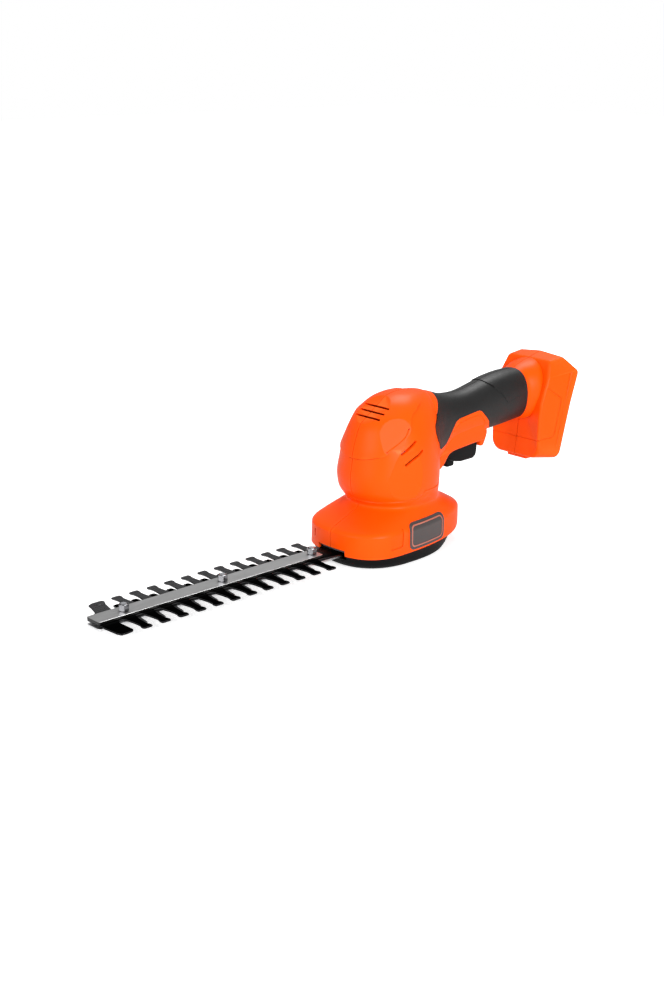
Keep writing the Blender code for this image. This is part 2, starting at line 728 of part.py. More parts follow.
def build_base():
    """The tray under the blade drive, its latch and the bare plate on the left side."""
    tray = loft("sole_cover", [body_ring(level, 0) for level in SOLE_LEVELS])
    low, high = SOLE_LEVELS[1], SOLE_LEVELS[3]
    room_rings = (body_ring(low, WALL, 2.4 * MM), body_ring(high, WALL), body_ring(high, WALL, 12 * MM))
    combine(tray, loft("sole_room", room_rings))
    tray = settle(tray)
    for side in (-1, 1):
        inner = sorted((side * 13.2 * MM, side * 15.6 * MM))
        outer = sorted((side * 18.2 * MM, side * 20.6 * MM))
        for tag, ends, top in (("inner", inner, MOVING_Z - GAP), ("outer", outer, FIXED_Z - GAP)):
            rib = box(f"{tag}_rib_{side}", (-20 * MM, ends[0], 1.5 * MM), (36 * MM, ends[1], top))
            combine(tray, rib, "UNION")
    combine(tray, box("sole_mouth", (44 * MM, -15.5 * MM, 7.2 * MM), (70 * MM, 15.5 * MM, 12 * MM)))
    combine(tray, box("latch_notch", (-70 * MM, -5.3 * MM, 6.6 * MM), (-52 * MM, 5.3 * MM, 12 * MM)))
    settle(tray, black_plastic())

    latch = plate("sole_latch", [outline_mm(LATCH_OUTLINE)], 6.2 * MM, 10.2 * MM)
    soften(latch, 0.6 * MM)
    latch = settle(latch)
    for tag, low, high in (
        ("stem", (-70.5, -4, 9), (-64.4, 4, 14)),
        ("flange", (-69.6, -7, 13.4), (-63.4, 7, 15)),
        ("tongue", (-66, -4, 7.4), (-61.2, 4, 9.6)),
    ):
        combine(latch, box(f"latch_{tag}", Vector(low) * MM, Vector(high) * MM), "UNION")
    settle(latch, black_plastic())

    badge = body_form("badge_plate", inset=-1.1 * MM)
    combine(badge, body_form("badge_back", inset=-GAP))
    corners = ((-31.5, 11.8, 3), (14, 11.8, 3), (14, 32.6, 3), (-31.5, 32.6, 3))
    badge_outline = outline_mm(rounded(corners, 2))
    combine(badge, side_prism("badge_outline", badge_outline, 20 * MM, 60 * MM), "INTERSECT")
    settle(badge, grey_plastic())


def comb_side(first_x, count, half_widths, sign, forward):
    """The outline of one row of teeth, from the front back or the other way."""
    points = []
    for k in range(count):
        x = first_x - TOOTH_PITCH * k
        tooth = [(x + half * MM, sign * y * MM) for half, y in half_widths]
        tooth += [(x - half * MM, sign * y * MM) for half, y in reversed(half_widths)]
        points += tooth
    return points if forward else list(reversed(points))


def build_blade():
    """Two combs held between two bars by three bolts."""
    left = comb_side(FIRST_LEFT_TOOTH_X, TEETH, LONG_TOOTH, 1, True)
    right = comb_side(FIRST_RIGHT_TOOTH_X, TEETH, LONG_TOOTH, -1, False)
    tail = ((62, 13), (42, 13), (38, 21), (-20, 21), (-24, 17))
    tail += ((-24, -17), (-20, -21), (38, -21), (42, -13), (60, -13))
    outline = [*outline_mm(LEFT_TIP), *left, *outline_mm(tail), *right, *outline_mm(reversed(RIGHT_TIP))]
    holes = [circle(x, 0, HOLE_RADIUS, 12) for x in BLADE_BOLT_X]
    holes.append(circle(0, 0, 12 * MM, 32))
    plate("fixed_comb", [outline, *holes], FIXED_Z, FIXED_Z + COMB_THICK, blade_steel())

    left = comb_side(FIRST_LEFT_TOOTH_X + LEFT_SHORT_OFFSET, TEETH - 1, SHORT_TOOTH, 1, True)
    right = comb_side(FIRST_RIGHT_TOOTH_X + RIGHT_SHORT_OFFSET, TEETH, SHORT_TOOTH, -1, False)
    nose = ((282, -7), (283, -5), (283, 5), (282, 7))
    tail = ((72, 9), (20, 9), (16, 16.5), (-14, 16.5), (-14, -16.5), (16, -16.5), (20, -9))
    outline = [*outline_mm(nose), *left, *outline_mm(tail), *right]
    holes = [slot_outline(x, 0, STROKE + HOLE_RADIUS + GAP, HOLE_RADIUS, 5) for x in BLADE_BOLT_X]
    yoke_x = ECCENTRIC_RADIUS + YOKE_PLAY
    yoke_y = ECCENTRIC_RADIUS + CRANK_THROW + 1.5 * MM
    yoke = [(yoke_x, yoke_y), (-yoke_x, yoke_y), (-yoke_x, -yoke_y), (yoke_x, -yoke_y)]
    plate("moving_comb", [outline, *holes, yoke], MOVING_Z, MOVING_Z + COMB_THICK, blade_steel())

    for name, rear, low, thick, surface in (
        ("guide_bar", 75, UPPER_BAR_Z, UPPER_BAR_THICK, bar_steel()),
        ("blade_support_bar", 40, LOWER_BAR_Z, LOWER_BAR_THICK, bright_steel()),
    ):
        front = BLADE_TIP_X / MM
        corners = ((front, -8, 1.5), (front, 8, 1.5), (rear, 8, 1.5), (rear, -8, 1.5))
        holes = [circle(x, 0, HOLE_RADIUS, 12) for x in BLADE_BOLT_X]
        plate(name, [outline_mm(rounded(corners, 2)), *holes], low, low + thick, surface)

    for number, x in enumerate(BLADE_BOLT_X, start=1):
        head = ((0, 5.9), (3.6, 5.9), (4.5, 6.4), (4.5, 7.2), (2.5, 7.2), (2.5, 19.3), (1.9, 19.9), (0, 19.9))
        turned(f"blade_bolt_{number}", outline_mm(head), (x, 0, 0), zinc_steel(), 12)
        low = UPPER_BAR_Z + UPPER_BAR_THICK + GAP
        hexagon = circle(x, 0, 8.5 * MM / 2 / math.cos(math.pi / 6), 6)
        bore = circle(x, 0, HOLE_RADIUS, 12)
        plate(f"blade_nut_{number}", [hexagon, bore], low, low + 4.8 * MM, bright_steel())


def gear_outline(x, y, teeth, phase):
    """Straight-sided teeth with play, the first one centred on the phase angle."""
    pitch = MODULE * teeth / 2
    points = []
    for k in range(teeth):
        centre = phase + 2 * math.pi * k / teeth
        for radius, offset in ((-0.8, -0.72), (0.48, -0.24), (0.48, 0.24), (-0.8, 0.72)):
            distance = pitch + radius * MM
            angle = centre + offset * MM / distance
            points.append((x + distance * math.cos(angle), y + distance * math.sin(angle)))
    return points


def build_drive():
    """Gear plate, compound idler, crank gear with its eccentric and the gearbox cover."""
    to_idler = math.atan2(IDLER_Y, IDLER_X)
    to_motor = math.atan2(-IDLER_Y, MOTOR_X - IDLER_X)
    half_tooth = math.pi / PINION_TEETH

    slab = body_ring(BODY_STATIONS[0], WALL + GAP + 0.2 * MM)
    outline = [(max(x, -56 * MM), y) for x, y, z in slab]
    centre_hole = circle(0, 0, 12 * MM, 32)
    axle_hole = circle(IDLER_X, IDLER_Y, AXLE_RADIUS + GAP, 16)
    plate_top = GEAR_PLATE_Z + GEAR_PLATE_THICK
    plate("gear_plate", [outline, centre_hole, axle_hole], GEAR_PLATE_Z, plate_top, glass_nylon())

    cover_ring = body_ring(BODY_STATIONS[6], WALL + GAP + 0.6 * MM)
    bush_hole = circle(0, 0, 5.5 * MM + GAP, 24)
    pinion_hole = circle(MOTOR_X, 0, 6.5 * MM, 24)
    cover = plate(
        "gearbox_cover",
        [[(x, y) for x, y, z in cover_ring], bush_hole, axle_hole, pinion_hole],
        COVER_Z,
        COVER_Z + COVER_THICK,
    )
    for x, y in ((22, 22), (22, -22), (-32, 18), (-36, -8)):
        ends = ((x * MM, y * MM, plate_top + GAP), (x * MM, y * MM, COVER_Z + 1 * MM))
        combine(cover, rod(f"post_{x}_{y}", *ends, 3.2 * MM, sides=16), "UNION")
    settle(cover, glass_nylon())

    low_top = LOW_GEAR_Z + LOW_GEAR_THICK
    crank = plate("crank_gear", [gear_outline(0, 0, WHEEL_TEETH, to_idler)], LOW_GEAR_Z, low_top)
    ends = ((0, CRANK_THROW, MOVING_Z - 0.2 * MM), (0, CRANK_THROW, LOW_GEAR_Z + 1 * MM))
    eccentric = rod("eccentric", *ends, ECCENTRIC_RADIUS, sides=32)
    ends = ((0, 0, low_top - 1 * MM), (0, 0, COVER_Z + COVER_THICK - 0.8 * MM))
    journal = rod("journal", *ends, JOURNAL_RADIUS, sides=24)
    combine(crank, eccentric, "UNION")
    combine(crank, journal, "UNION")
    settle(crank, gear_steel())
    bush = ((JOURNAL_RADIUS + GAP, COVER_Z + GAP), (5.5 * MM, COVER_Z + GAP))
    top = COVER_Z + COVER_THICK - GAP
    turned("crank_bush", [*bush, (5.5 * MM, top), (JOURNAL_RADIUS + GAP, top)], (0, 0, 0), bronze(), 24)

    small = gear_outline(IDLER_X, IDLER_Y, PINION_TEETH, to_idler + math.pi + half_tooth)
    idler = plate("idler_gear", [small], LOW_GEAR_Z, HIGH_GEAR_Z + 1 * MM)
    large = gear_outline(IDLER_X, IDLER_Y, WHEEL_TEETH, to_motor)
    combine(idler, plate("idler_wheel", [large], HIGH_GEAR_Z, HIGH_GEAR_Z + HIGH_GEAR_THICK), "UNION")
    hub = (IDLER_X, IDLER_Y, HIGH_GEAR_Z + HIGH_GEAR_THICK)
    combine(idler, rod("idler_hub", hub, (IDLER_X, IDLER_Y, COVER_Z - GAP), 4 * MM, sides=20), "UNION")
    bore_ends = ((IDLER_X, IDLER_Y, 10 * MM), (IDLER_X, IDLER_Y, 40 * MM))
    combine(idler, rod("idler_bore", *bore_ends, AXLE_RADIUS + GAP, sides=16))
    settle(idler, gear_steel())
    axle_ends = ((IDLER_X, IDLER_Y, GEAR_PLATE_Z + GAP), (IDLER_X, IDLER_Y, COVER_Z + COVER_THICK - GAP))
    rod("idler_axle", *axle_ends, AXLE_RADIUS, bright_steel(), 16)

    teeth = gear_outline(MOTOR_X, 0, PINION_TEETH, to_motor + math.pi + half_tooth)
    bore = circle(MOTOR_X, 0, SHAFT_RADIUS + GAP, 12)
    high_top = HIGH_GEAR_Z + HIGH_GEAR_THICK + 0.5 * MM
    plate("motor_pinion", [teeth, bore], HIGH_GEAR_Z - 0.5 * MM, high_top, gear_steel())


def build_motor():
    """Brushed motor standing on the gearbox cover."""
    z0 = MOTOR_BASE_Z
    top = z0 + MOTOR_CAN_HEIGHT
    outer, inner = MOTOR_RADIUS, MOTOR_RADIUS - 1.2 * MM
    bore = 3.5 * MM
    can = [(bore, z0), (outer - 1 * MM, z0), (outer, z0 + 1 * MM), (outer, top), (inner, top)]
    can += [(inner, z0 + 1.6 * MM), (bore, z0 + 1.6 * MM)]
    turned("motor_can", can, (MOTOR_X, 0, 0), zinc_steel(), 28)
    ring = [(SHAFT_RADIUS + GAP, z0 + GAP), (bore - GAP, z0 + GAP), (bore - GAP, z0 + 4 * MM)]
    turned("motor_bush", [*ring, (SHAFT_RADIUS + GAP, z0 + 4 * MM)], (MOTOR_X, 0, 0), bronze(), 20)

    for name, middle in (("motor_magnet_left", 90), ("motor_magnet_right", -90)):
        outer_arc = []
        inner_arc = []
        for i in range(11):
            angle = math.radians(middle - 60 + 12 * i)
            outer_arc.append((MOTOR_X + 16.5 * MM * math.cos(angle), 16.5 * MM * math.sin(angle)))
            inner_arc.append((MOTOR_X + 13.6 * MM * math.cos(angle), 13.6 * MM * math.sin(angle)))
        plate(name, [outer_arc + inner_arc[::-1]], z0 + 4 * MM, top - 6 * MM, magnet_ferrite())

    core = plate("motor_armature", [armature_outline()], z0 + 8 * MM, top - 12 * MM)
    shaft_ends = ((MOTOR_X, 0, HIGH_GEAR_Z - 0.3 * MM), (MOTOR_X, 0, top + END_BELL_HEIGHT - 1.4 * MM))
    combine(core, rod("motor_shaft", *shaft_ends, SHAFT_RADIUS, sides=16), "UNION")
    commutator_ends = ((MOTOR_X, 0, top - 13 * MM), (MOTOR_X, 0, top - 2 * MM))
    combine(core, rod("commutator", *commutator_ends, 4.2 * MM, sides=20), "UNION")
    settle(core, copper())

    base = top + GAP
    bell = [(SHAFT_RADIUS + GAP, base + 4 * MM), (inner - 1 * MM, base), (outer, base)]
    bell += [(outer, base + 5 * MM), (outer - 2 * MM, base + 6.5 * MM), (6 * MM, base + 6.5 * MM)]
    bell += [(5 * MM, base + END_BELL_HEIGHT), (SHAFT_RADIUS + GAP, base + END_BELL_HEIGHT)]
    bell = turned("motor_end_bell", bell, (MOTOR_X, 0, 0), None, 28)
    for side in (-1, 1):
        lug = box(
            f"brush_lug_{side}",
            (MOTOR_X - 1.5 * MM, min(side * 8, side * 12) * MM, base + 5 * MM),
            (MOTOR_X + 1.5 * MM, max(side * 8, side * 12) * MM, base + 9.5 * MM),
        )
        combine(bell, lug, "UNION")
    settle(bell, glass_nylon())


def armature_outline():
    """Five wound poles, seen from the end."""
    points = []
    for k in range(5):
        for degrees, radius in ((-29, 13), (-14, 13.2), (0, 13.3), (14, 13.2), (29, 13), (33, 9), (39, 9)):
            angle = math.radians(72 * k + degrees)
            points.append((MOTOR_X + radius * MM * math.cos(angle), radius * MM * math.sin(angle)))
    return points


def tube(name, path, radius, surface, resolution=1):
    """A round wire along a path of points, closed at both ends."""
    curve = bpy.data.curves.new(name, "CURVE")
    curve.dimensions = "3D"
    curve.bevel_depth = radius
    curve.bevel_resolution = resolution
    curve.use_fill_caps = True
    spline = curve.splines.new("POLY")
    spline.points.add(len(path) - 1)
    for point, place in zip(spline.points, path):
        point.co = (*place, 1.0)
    obj = bpy.data.objects.new(name, curve)
    cutters.objects.link(obj)
    return settle(obj, surface)


def coil(name, x, y, low, high, radius, wire, turns, surface):
    """A compression spring standing upright."""
    steps = 12 * turns
    path = []
    for i in range(steps + 1):
        angle = 2 * math.pi * i / 12
        height = low + wire + (high - low - 2 * wire) * i / steps
        path.append((x + radius * math.cos(angle), y + radius * math.sin(angle), height))
    return tube(name, path, wire, surface, 0)


def smooth_path(points, steps=3):
    """Points along a smooth line through the given ones."""
    points = [Vector(point) * MM for point in points]
    points = [points[0], *points, points[-1]]
    path = []
    for a, b, c, d in zip(points, points[1:], points[2:], points[3:]):
        for k in range(steps):
            t = k / steps
            bend = (2 * a - 5 * b + 4 * c - d) * t ** 2 + (3 * b - a - 3 * c + d) * t ** 3
            path.append(0.5 * (2 * b + (c - a) * t + bend))
    path.append(points[-2])
    return path


def build_controls():
    """Trigger with its lock-off button, the switch and the battery contacts."""
    trigger = soft_prism("trigger", outline_mm(TRIGGER_SIDE), TRIGGER_HALF, 1.0 * MM)
    lock_half = LOCK_HALF + GAP
    combine(trigger, box("lock_way", (-79.8 * MM, -lock_half, 55 * MM), (-70.2 * MM, lock_half, 81 * MM)))
    settle(trigger, black_plastic())
    low, high = (-79.5 * MM, -LOCK_HALF, 57.2 * MM), (-70.5 * MM, LOCK_HALF, 71 * MM)
    settle(box("lock_off_button", low, high, bevel=1.0 * MM), black_plastic())
    coil("lock_off_spring", -75 * MM, 0, 71.3 * MM, 80.7 * MM, 2.6 * MM, 0.35 * MM, 4, bright_steel())
    coil("trigger_spring", -77 * MM, 0, 87.8 * MM, 95.2 * MM, 3.6 * MM, 0.4 * MM, 3, bright_steel())
    rod("switch_plunger", (-86 * MM, 0, 87.8 * MM), (-86 * MM, 0, 98 * MM), 2.2 * MM, black_plastic(), 16)

    low, high = (-101 * MM, -8 * MM, 95.5 * MM), (-70 * MM, 8 * MM, 111 * MM)
    switch = settle(box("switch_module", low, high, bevel=0.8 * MM))
    combine(switch, rod("plunger_way", (-86 * MM, 0, 90 * MM), (-86 * MM, 0, 104.5 * MM), 2.5 * MM, sides=16))
    settle(switch, grey_plastic())

    low, high = (-186 * MM, -12.5 * MM, 85 * MM), (-175.4 * MM, 12.5 * MM, 107 * MM)
    block = settle(box("terminal_block", low, high, bevel=0.8 * MM))
    for number, y in enumerate((-8, 0, 8), start=1):
        low = (y - 0.7) * MM
        high = (y + 0.7) * MM
        slot = box(f"blade_way_{number}", (-190 * MM, low, 88.7 * MM), (-178 * MM, high, 103.3 * MM))
        combine(block, slot)
        box(
            f"terminal_blade_{number}",
            (-192 * MM, low + GAP, 89 * MM),
            (-178.3 * MM, high - GAP, 103 * MM),
            brass(),
        )
    settle(block, black_plastic())

    for side, name in ((1, "left"), (-1, "right")):
        y = 2.5 * side
        back = [(-175.1, y, 96), (-160, y, 96.5), (-142, y, 102), (-122, y, 106), (-101.4, y, 104)]
        tube(f"battery_wire_{name}", smooth_path(back), 1.1 * MM, wire_red() if side > 0 else wire_black())
        front = [(-69.6, 3 * side, 104), (-58, 4 * side, 106), (-40, 8 * side, 107), (-22, 9.5 * side, 105)]
        front += [(-15, 10 * side, 102), (-14, 10 * side, 100.4), (-14, 10 * side, 99.3)]
        tube(f"motor_wire_{name}", smooth_path(front), 1.1 * MM, wire_red() if side > 0 else wire_black())


def set_pivots():
    """Give each moving piece an origin on the axis that it turns about or slides along."""
    gears = (("crank_gear", 0.0, 0.0), ("idler_gear", IDLER_X, IDLER_Y))
    pivots = {name: (x, y, LOW_GEAR_Z) for name, x, y in gears}
    pivots["motor_armature"] = (MOTOR_X, 0.0, MOTOR_BASE_Z)
    pivots["motor_pinion"] = (MOTOR_X, 0.0, HIGH_GEAR_Z)
    pivots["moving_comb"] = (0.0, 0.0, MOVING_Z)
    pivots["sole_latch"] = (-68 * MM, 0.0, 10.2 * MM)
    pivots["trigger"] = (-83 * MM, 0.0, 76 * MM)
    pivots["switch_plunger"] = (-86 * MM, 0.0, 87.8 * MM)
    pivots["lock_off_button"] = (-75 * MM, 0.0, 64 * MM)
    for name, place in pivots.items():
        obj = parts.objects[name]
        obj.data.transform(Matrix.Translation(Vector(place)).inverted())
        obj.location = place


def main():
    global parts, cutters
    clear_scene()
    cutters = make_collection("cutters")
    parts = make_collection("cordless_shrub_trimmer")
    build_housing()
    build_grips()
    build_screws()
    build_base()
    build_blade()
    build_drive()
    build_motor()
    build_controls()
    set_pivots()


main()
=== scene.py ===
"""Looks of a cordless shrub trimmer with a two-sided comb blade.

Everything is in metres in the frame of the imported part: +X forward along the blade,
+Y to the operator's left, +Z up, with the ground at Z = 0.
"""

import math

import bmesh
import bpy
from mathutils import Matrix, Vector


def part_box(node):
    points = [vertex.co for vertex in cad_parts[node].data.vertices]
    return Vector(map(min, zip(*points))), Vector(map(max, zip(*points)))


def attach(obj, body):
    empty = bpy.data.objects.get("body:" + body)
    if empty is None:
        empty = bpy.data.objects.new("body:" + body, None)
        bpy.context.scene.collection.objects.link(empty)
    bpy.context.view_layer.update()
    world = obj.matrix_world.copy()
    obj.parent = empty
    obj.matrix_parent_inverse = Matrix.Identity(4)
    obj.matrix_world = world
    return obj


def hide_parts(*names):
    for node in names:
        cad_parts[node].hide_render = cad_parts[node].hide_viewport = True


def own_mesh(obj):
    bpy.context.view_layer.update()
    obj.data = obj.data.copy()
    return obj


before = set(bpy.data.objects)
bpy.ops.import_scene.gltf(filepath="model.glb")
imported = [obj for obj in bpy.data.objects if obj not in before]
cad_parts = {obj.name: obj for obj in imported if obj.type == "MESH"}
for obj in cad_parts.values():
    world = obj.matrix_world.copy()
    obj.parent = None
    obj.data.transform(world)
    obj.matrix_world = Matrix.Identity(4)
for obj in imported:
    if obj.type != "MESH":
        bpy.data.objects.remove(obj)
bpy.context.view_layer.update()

# Orange housing: two halves of ABS, each moulded in one piece with its side of the base, the head,
# the handle's core, the trigger guard and the battery foot. Six screws from the right pull them
# together, and what shows of the joint is a fine line all along the middle.
MM = 0.001
WELD = 0.002 * MM
SEAM = 0.32 * MM
LIP_DEPTH = 1.4 * MM
FOOT_LIP_DEPTH = 0.7 * MM
LIP_GAP = 0.04 * MM
WALL = 2.4 * MM
GRIP_THICKNESS = 2.0 * MM
BODY_SIDES = 112
HANDLE_SIDES = 72

# Height, front, rear, half width, widest place, squareness of the plan in front and behind
BODY_STATIONS = (
    (10.5, 59.8, -76.5, 43.9, 22, 2.6, 2.1),
    (14.0, 60.5, -77.7, 44.15, 22, 2.45, 2.1),
    (26.0, 60.5, -77.8, 44.15, 22, 2.4, 2.1),
    (28.5, 60.1, -77.5, 44.1, 22, 2.4, 2.1),
    (31.0, 57.6, -75.2, 43.2, 21, 2.35, 2.1),
    (34.0, 51.0, -70.0, 41.3, 17, 2.3, 2.1),
    (37.0, 43.6, -64.5, 39.2, 12, 2.3, 2.1),
    (40.5, 35.6, -57.0, 36.7, 5, 2.25, 2.1),
    (43.5, 30.0, -52.0, 35.0, -2, 2.2, 2.1),
    (46.0, 29.3, -50.0, 35.2, -5, 2.1, 2.1),
    (50.0, 32.5, -49.0, 37.0, -5, 2.1, 2.1),
    (56.0, 36.6, -48.2, 39.0, -4, 2.1, 2.1),
    (63.0, 38.4, -48.0, 39.8, -4, 2.1, 2.1),
    (70.0, 38.6, -48.0, 40.0, -4, 2.1, 2.1),
    (80.0, 37.0, -48.0, 39.6, -4, 2.0, 2.1),
    (91.0, 34.8, -48.0, 38.4, -4, 1.95, 2.1),
    (101.0, 31.6, -48.0, 36.2, -5, 1.9, 2.1),
    (109.0, 28.2, -48.0, 33.4, -6, 1.9, 2.1),
    (116.0, 22.8, -47.5, 29.6, -8, 1.9, 2.1),
    (122.0, 14.5, -46.5, 24.8, -10, 1.9, 2.1),
    (126.5, 7.5, -45.0, 19.6, -12, 1.95, 2.1),
    (129.8, -1.0, -41.0, 13.6, -15, 2.0, 2.1),
    (131.3, -8.0, -34.0, 8.5, -18, 2.1, 2.1),
    (131.9, -14.0, -26.0, 3.0, -20, 2.1, 2.1),
)
# Distance along X, top, underside, half width
HANDLE_STATIONS = (
    (-30, 130.0, 58.0, 27.0),
    (-42, 129.0, 60.0, 23.0),
    (-50, 127.0, 63.0, 20.0),
    (-58, 124.2, 70.0, 18.3),
    (-66, 122.2, 76.5, 17.3),
    (-80, 121.2, 79.0, 17.0),
    (-92, 122.2, 80.5, 17.0),
    (-104, 124.6, 81.5, 17.3),
    (-122, 128.4, 83.0, 17.9),
    (-140, 130.4, 84.5, 18.2),
    (-157, 130.8, 86.0, 17.8),
)
COLLAR_STATIONS = (
    (-157.3, 130.8, 86.0, 17.8),
    (-160, 132.0, 85.0, 18.8),
    (-164, 133.6, 84.0, 21.0),
    (-169, 135.2, 85.0, 22.8),
    (-174, 136.4, 90.0, 22.0),
    (-178.5, 137.0, 100.0, 18.5),
)
COLLAR_NECK = ((-150, 127.6, 89.0, 15.0), (-157.2, 128.2, 88.6, 15.3))
FOOT_FRONT_CORNERS = ((27.5, 51.0, 10), (28.3, 123, 8), (24.2, 137.7, 4.5))
FOOT_REAR_CORNERS = ((36.5, 50.6, 8), (36.7, 127.0, 6), (24.5, 138.6, 7))
FOOT_FRONT_LEAN = ((51, -164.5), (88, -164.5), (100, -166), (112, -170), (125, -175), (138, -180))
FOOT_REAR_LEAN = ((51, -179.8), (78.4, -187.2), (100, -193.1), (123.3, -201.2), (127.5, -202), (143, -192))
FOOT_BREAKS = (78, 88, 100, 112)
FOOT_CROWN = 2.4
FOOT_EDGE = 2.2 * MM

# Side outlines (X, Z) of what is orange on the handle
TRIGGER_ZONE = (
    (-38, 56), (-42, 76), (-47.5, 81), (-55.3, 83.5), (-60, 90.5), (-67, 100.3), (-71, 102.3),
    (-95.5, 105.3), (-98.7, 104), (-108.5, 94.3), (-112, 88.5), (-116.5, 85.5), (-116.5, 56),
)
FRONT_ZONE = (
    (-20, 70), (-44, 74), (-47.5, 80.5), (-42, 83), (-29.5, 93.6), (-26.4, 101.4), (-27.8, 107),
    (-39.5, 114), (-46.4, 122), (-48.5, 128), (-49.5, 135), (-20, 135),
)
GUARD_BLOCK = (
    (-42, 61), (-51.6, 61.2), (-56.1, 65.3), (-59, 69.5), (-62, 72.8), (-67.4, 74.6), (-91.1, 76.8),
    (-106, 77.6), (-106, 94), (-70, 94), (-58, 86), (-50, 80.3), (-42, 75),
)
TRIGGER_HUMP = (
    (-103.4, 90), (-103.4, 71.6), (-107.4, 71.3), (-109.6, 75.2), (-112.4, 82), (-111.8, 86.5), (-110, 90),
)
BATTERY_RAIL = ((-178, 62), (-182.5, 62), (-200, 126), (-194, 126))
SCREW_PLACES = ((40, 24, 39), (-50, 24, 29), (24, 60, 24), (12, 104, 22.5), (-53, 74, 15), (-120, 95, 11.6))
SCREW_HEAD_Y = -8
MOTOR_X = -14
MOTOR_SEAT_RADIUS = 18.6

# Moulded lines of the head, base, guard and foot, on the left and mirrored to the right
VISOR = (
    (70, 85.0), (37, 85.2), (31, 87.6), (26.7, 88.9), (23.6, 91.3), (16.2, 97.4), (6.8, 103.9),
    (3.4, 108), (1.9, 113.4), (-0.2, 117), (-3.6, 120.0), (-18.1, 126.2), (-21.8, 128.6), (-22.4, 145),
    (70, 145),
)
VISOR_RISE = 1.0 * MM
VISOR_LINE = (
    (35.9, 0.1, 84.8), (34.2, 10, 85.9), (28.4, 21.2, 88.0), (24.5, 25.1, 91.4), (16, 29.5, 97.6),
    (8.5, 32.0, 103.7), (3.4, 30.2, 110), (0.2, 27.3, 116.9), (-6, 24.6, 120.4), (-13.8, 23.3, 123.1),
    (-18.7, 19.7, 126.1), (-21.3, 10.7, 130.6), (-22, 0.1, 131.3),
)
NECK_LINE = (
    (32.6, 0.1, 49.8), (31.4, 9.7, 50.1), (23.8, 25, 50.8), (14.3, 32.6, 51), (3.5, 36.6, 51.3),
    (-4, 38.2, 54.2), (-8, 38.8, 57.5), (-20, 36.5, 57), (-38.2, 24.7, 57), (-46, 10, 57), (-47.6, 0.1, 57),
)
# Flat faces of the head, to both sides: direction in plan and upward in degrees, and depth
CHEEK_FLATS = ((71, 1, 2.7),)
VISOR_FLATS = ((54, 23, 2.1), (0, 56, 2.1))
FLATS_FROM = 52 * MM
SIDE_PANEL = ((34.7, 26.4), (20.5, 32.4), (21.6, 17.4), (33.8, 16.6))
PANEL_DEPTH = 0.6 * MM
GUARD_LINE = ((-64.5, 92.0), (-70.5, 98.0), (-78, 99.6), (-92, 101.3), (-97, 100.4), (-104.5, 92.8))
FOOT_LINE = (
    (-163.3, 0.4, 67.6), (-163.3, 20, 67.7), (-164.6, 28, 68.6), (-168, 30.6, 69.8), (-174.8, 32.5, 70.9),
    (-177.4, 33.0, 75), (-178.6, 33.3, 81.3), (-183.9, 33.3, 103.2), (-182.6, 32.4, 106),
    (-175.2, 29.8, 111.9), (-169.4, 22.5, 117.4),
)
TOP_VENTS = ((9.6, 123.2), (14.6, 119.4), (19.3, 115.6))
SIDE_VENTS = ((7.4, 95.0, 8.6), (3.0, 86.2, 9.8))
TOP_VENT_TURN = math.radians(-32)
SIDE_VENT_TURN = math.radians(34)


def smooth(rows, steps):
    """Rows of numbers, with more of them along a smooth curve through the given ones."""
    result = []
    ends = [rows[0], *rows, rows[-1]]
    for a, b, c, d in zip(ends, ends[1:], ends[2:], ends[3:]):
        for k in range(steps):
            t = k / steps
            row = []
            for p, q, r, s in zip(a, b, c, d):
                curve = 2 * q + (r - p) * t + (2 * p - 5 * q + 4 * r - s) * t * t
                row.append(0.5 * (curve + (3 * q - p - 3 * r + s) * t ** 3))
            result.append(tuple(row))
    result.append(tuple(rows[-1]))
    return result


def signed_power(value, power):
    """The power of the value's size, with the value's sign."""
    return math.copysign(abs(value) ** power, value)


def add_object(name, data):
    """An object in the scene with a mesh, curve, lamp or camera as its data."""
    piece = bpy.data.objects.new(name, data)
    bpy.context.scene.collection.objects.link(piece)
    return piece


def from_bmesh(name, bm):
    """An object made of the edited mesh, its faces turned outward."""
    mesh = bpy.data.meshes.new(name)
    bmesh.ops.recalc_face_normals(bm, faces=bm.faces)
    bm.to_mesh(mesh)
    bm.free()
    return add_object(name, mesh)


def walls(rings):
    """The triangles between rings of equal point counts, with the rows of their corners."""
    bm = bmesh.new()
    rows = [[bm.verts.new(point) for point in ring] for ring in rings]
    for lower, upper in zip(rows, rows[1:]):
        for i in range(len(lower)):
            j = (i + 1) % len(lower)
            bm.faces.new((lower[i], lower[j], upper[j], upper[i]))
    bmesh.ops.triangulate(bm, faces=bm.faces)
    return bm, rows


def skin(name, rings):
    """A closed solid over rings of equal point counts, its ends closed by fans."""
    bm, rows = walls(rings)
    for ring, row in ((rings[0], rows[0]), (rings[-1], rows[-1])):
        middle = sum((Vector(point) for point in ring), Vector()) / len(ring)
        centre = bm.verts.new(middle)
        for i in range(len(row)):
            bm.faces.new((row[i], row[(i + 1) % len(row)], centre))
    return from_bmesh(name, bm)


def fixed(piece):
    """Make what its modifiers give the piece's own mesh, with doubled points welded."""
    bpy.context.view_layer.update()
    graph = bpy.context.evaluated_depsgraph_get()
    mesh = bpy.data.meshes.new_from_object(piece.evaluated_get(graph))
    mesh.transform(piece.matrix_world)
    name = piece.name
    bpy.data.objects.remove(piece, do_unlink=True)
    bm = bmesh.new()
    bm.from_mesh(mesh)
    bmesh.ops.remove_doubles(bm, verts=bm.verts, dist=WELD)
    bmesh.ops.dissolve_degenerate(bm, edges=bm.edges, dist=WELD)
    bmesh.ops.recalc_face_normals(bm, faces=bm.faces)
    bm.to_mesh(mesh)
    bm.free()
    mesh.name = name
    return add_object(name, mesh)


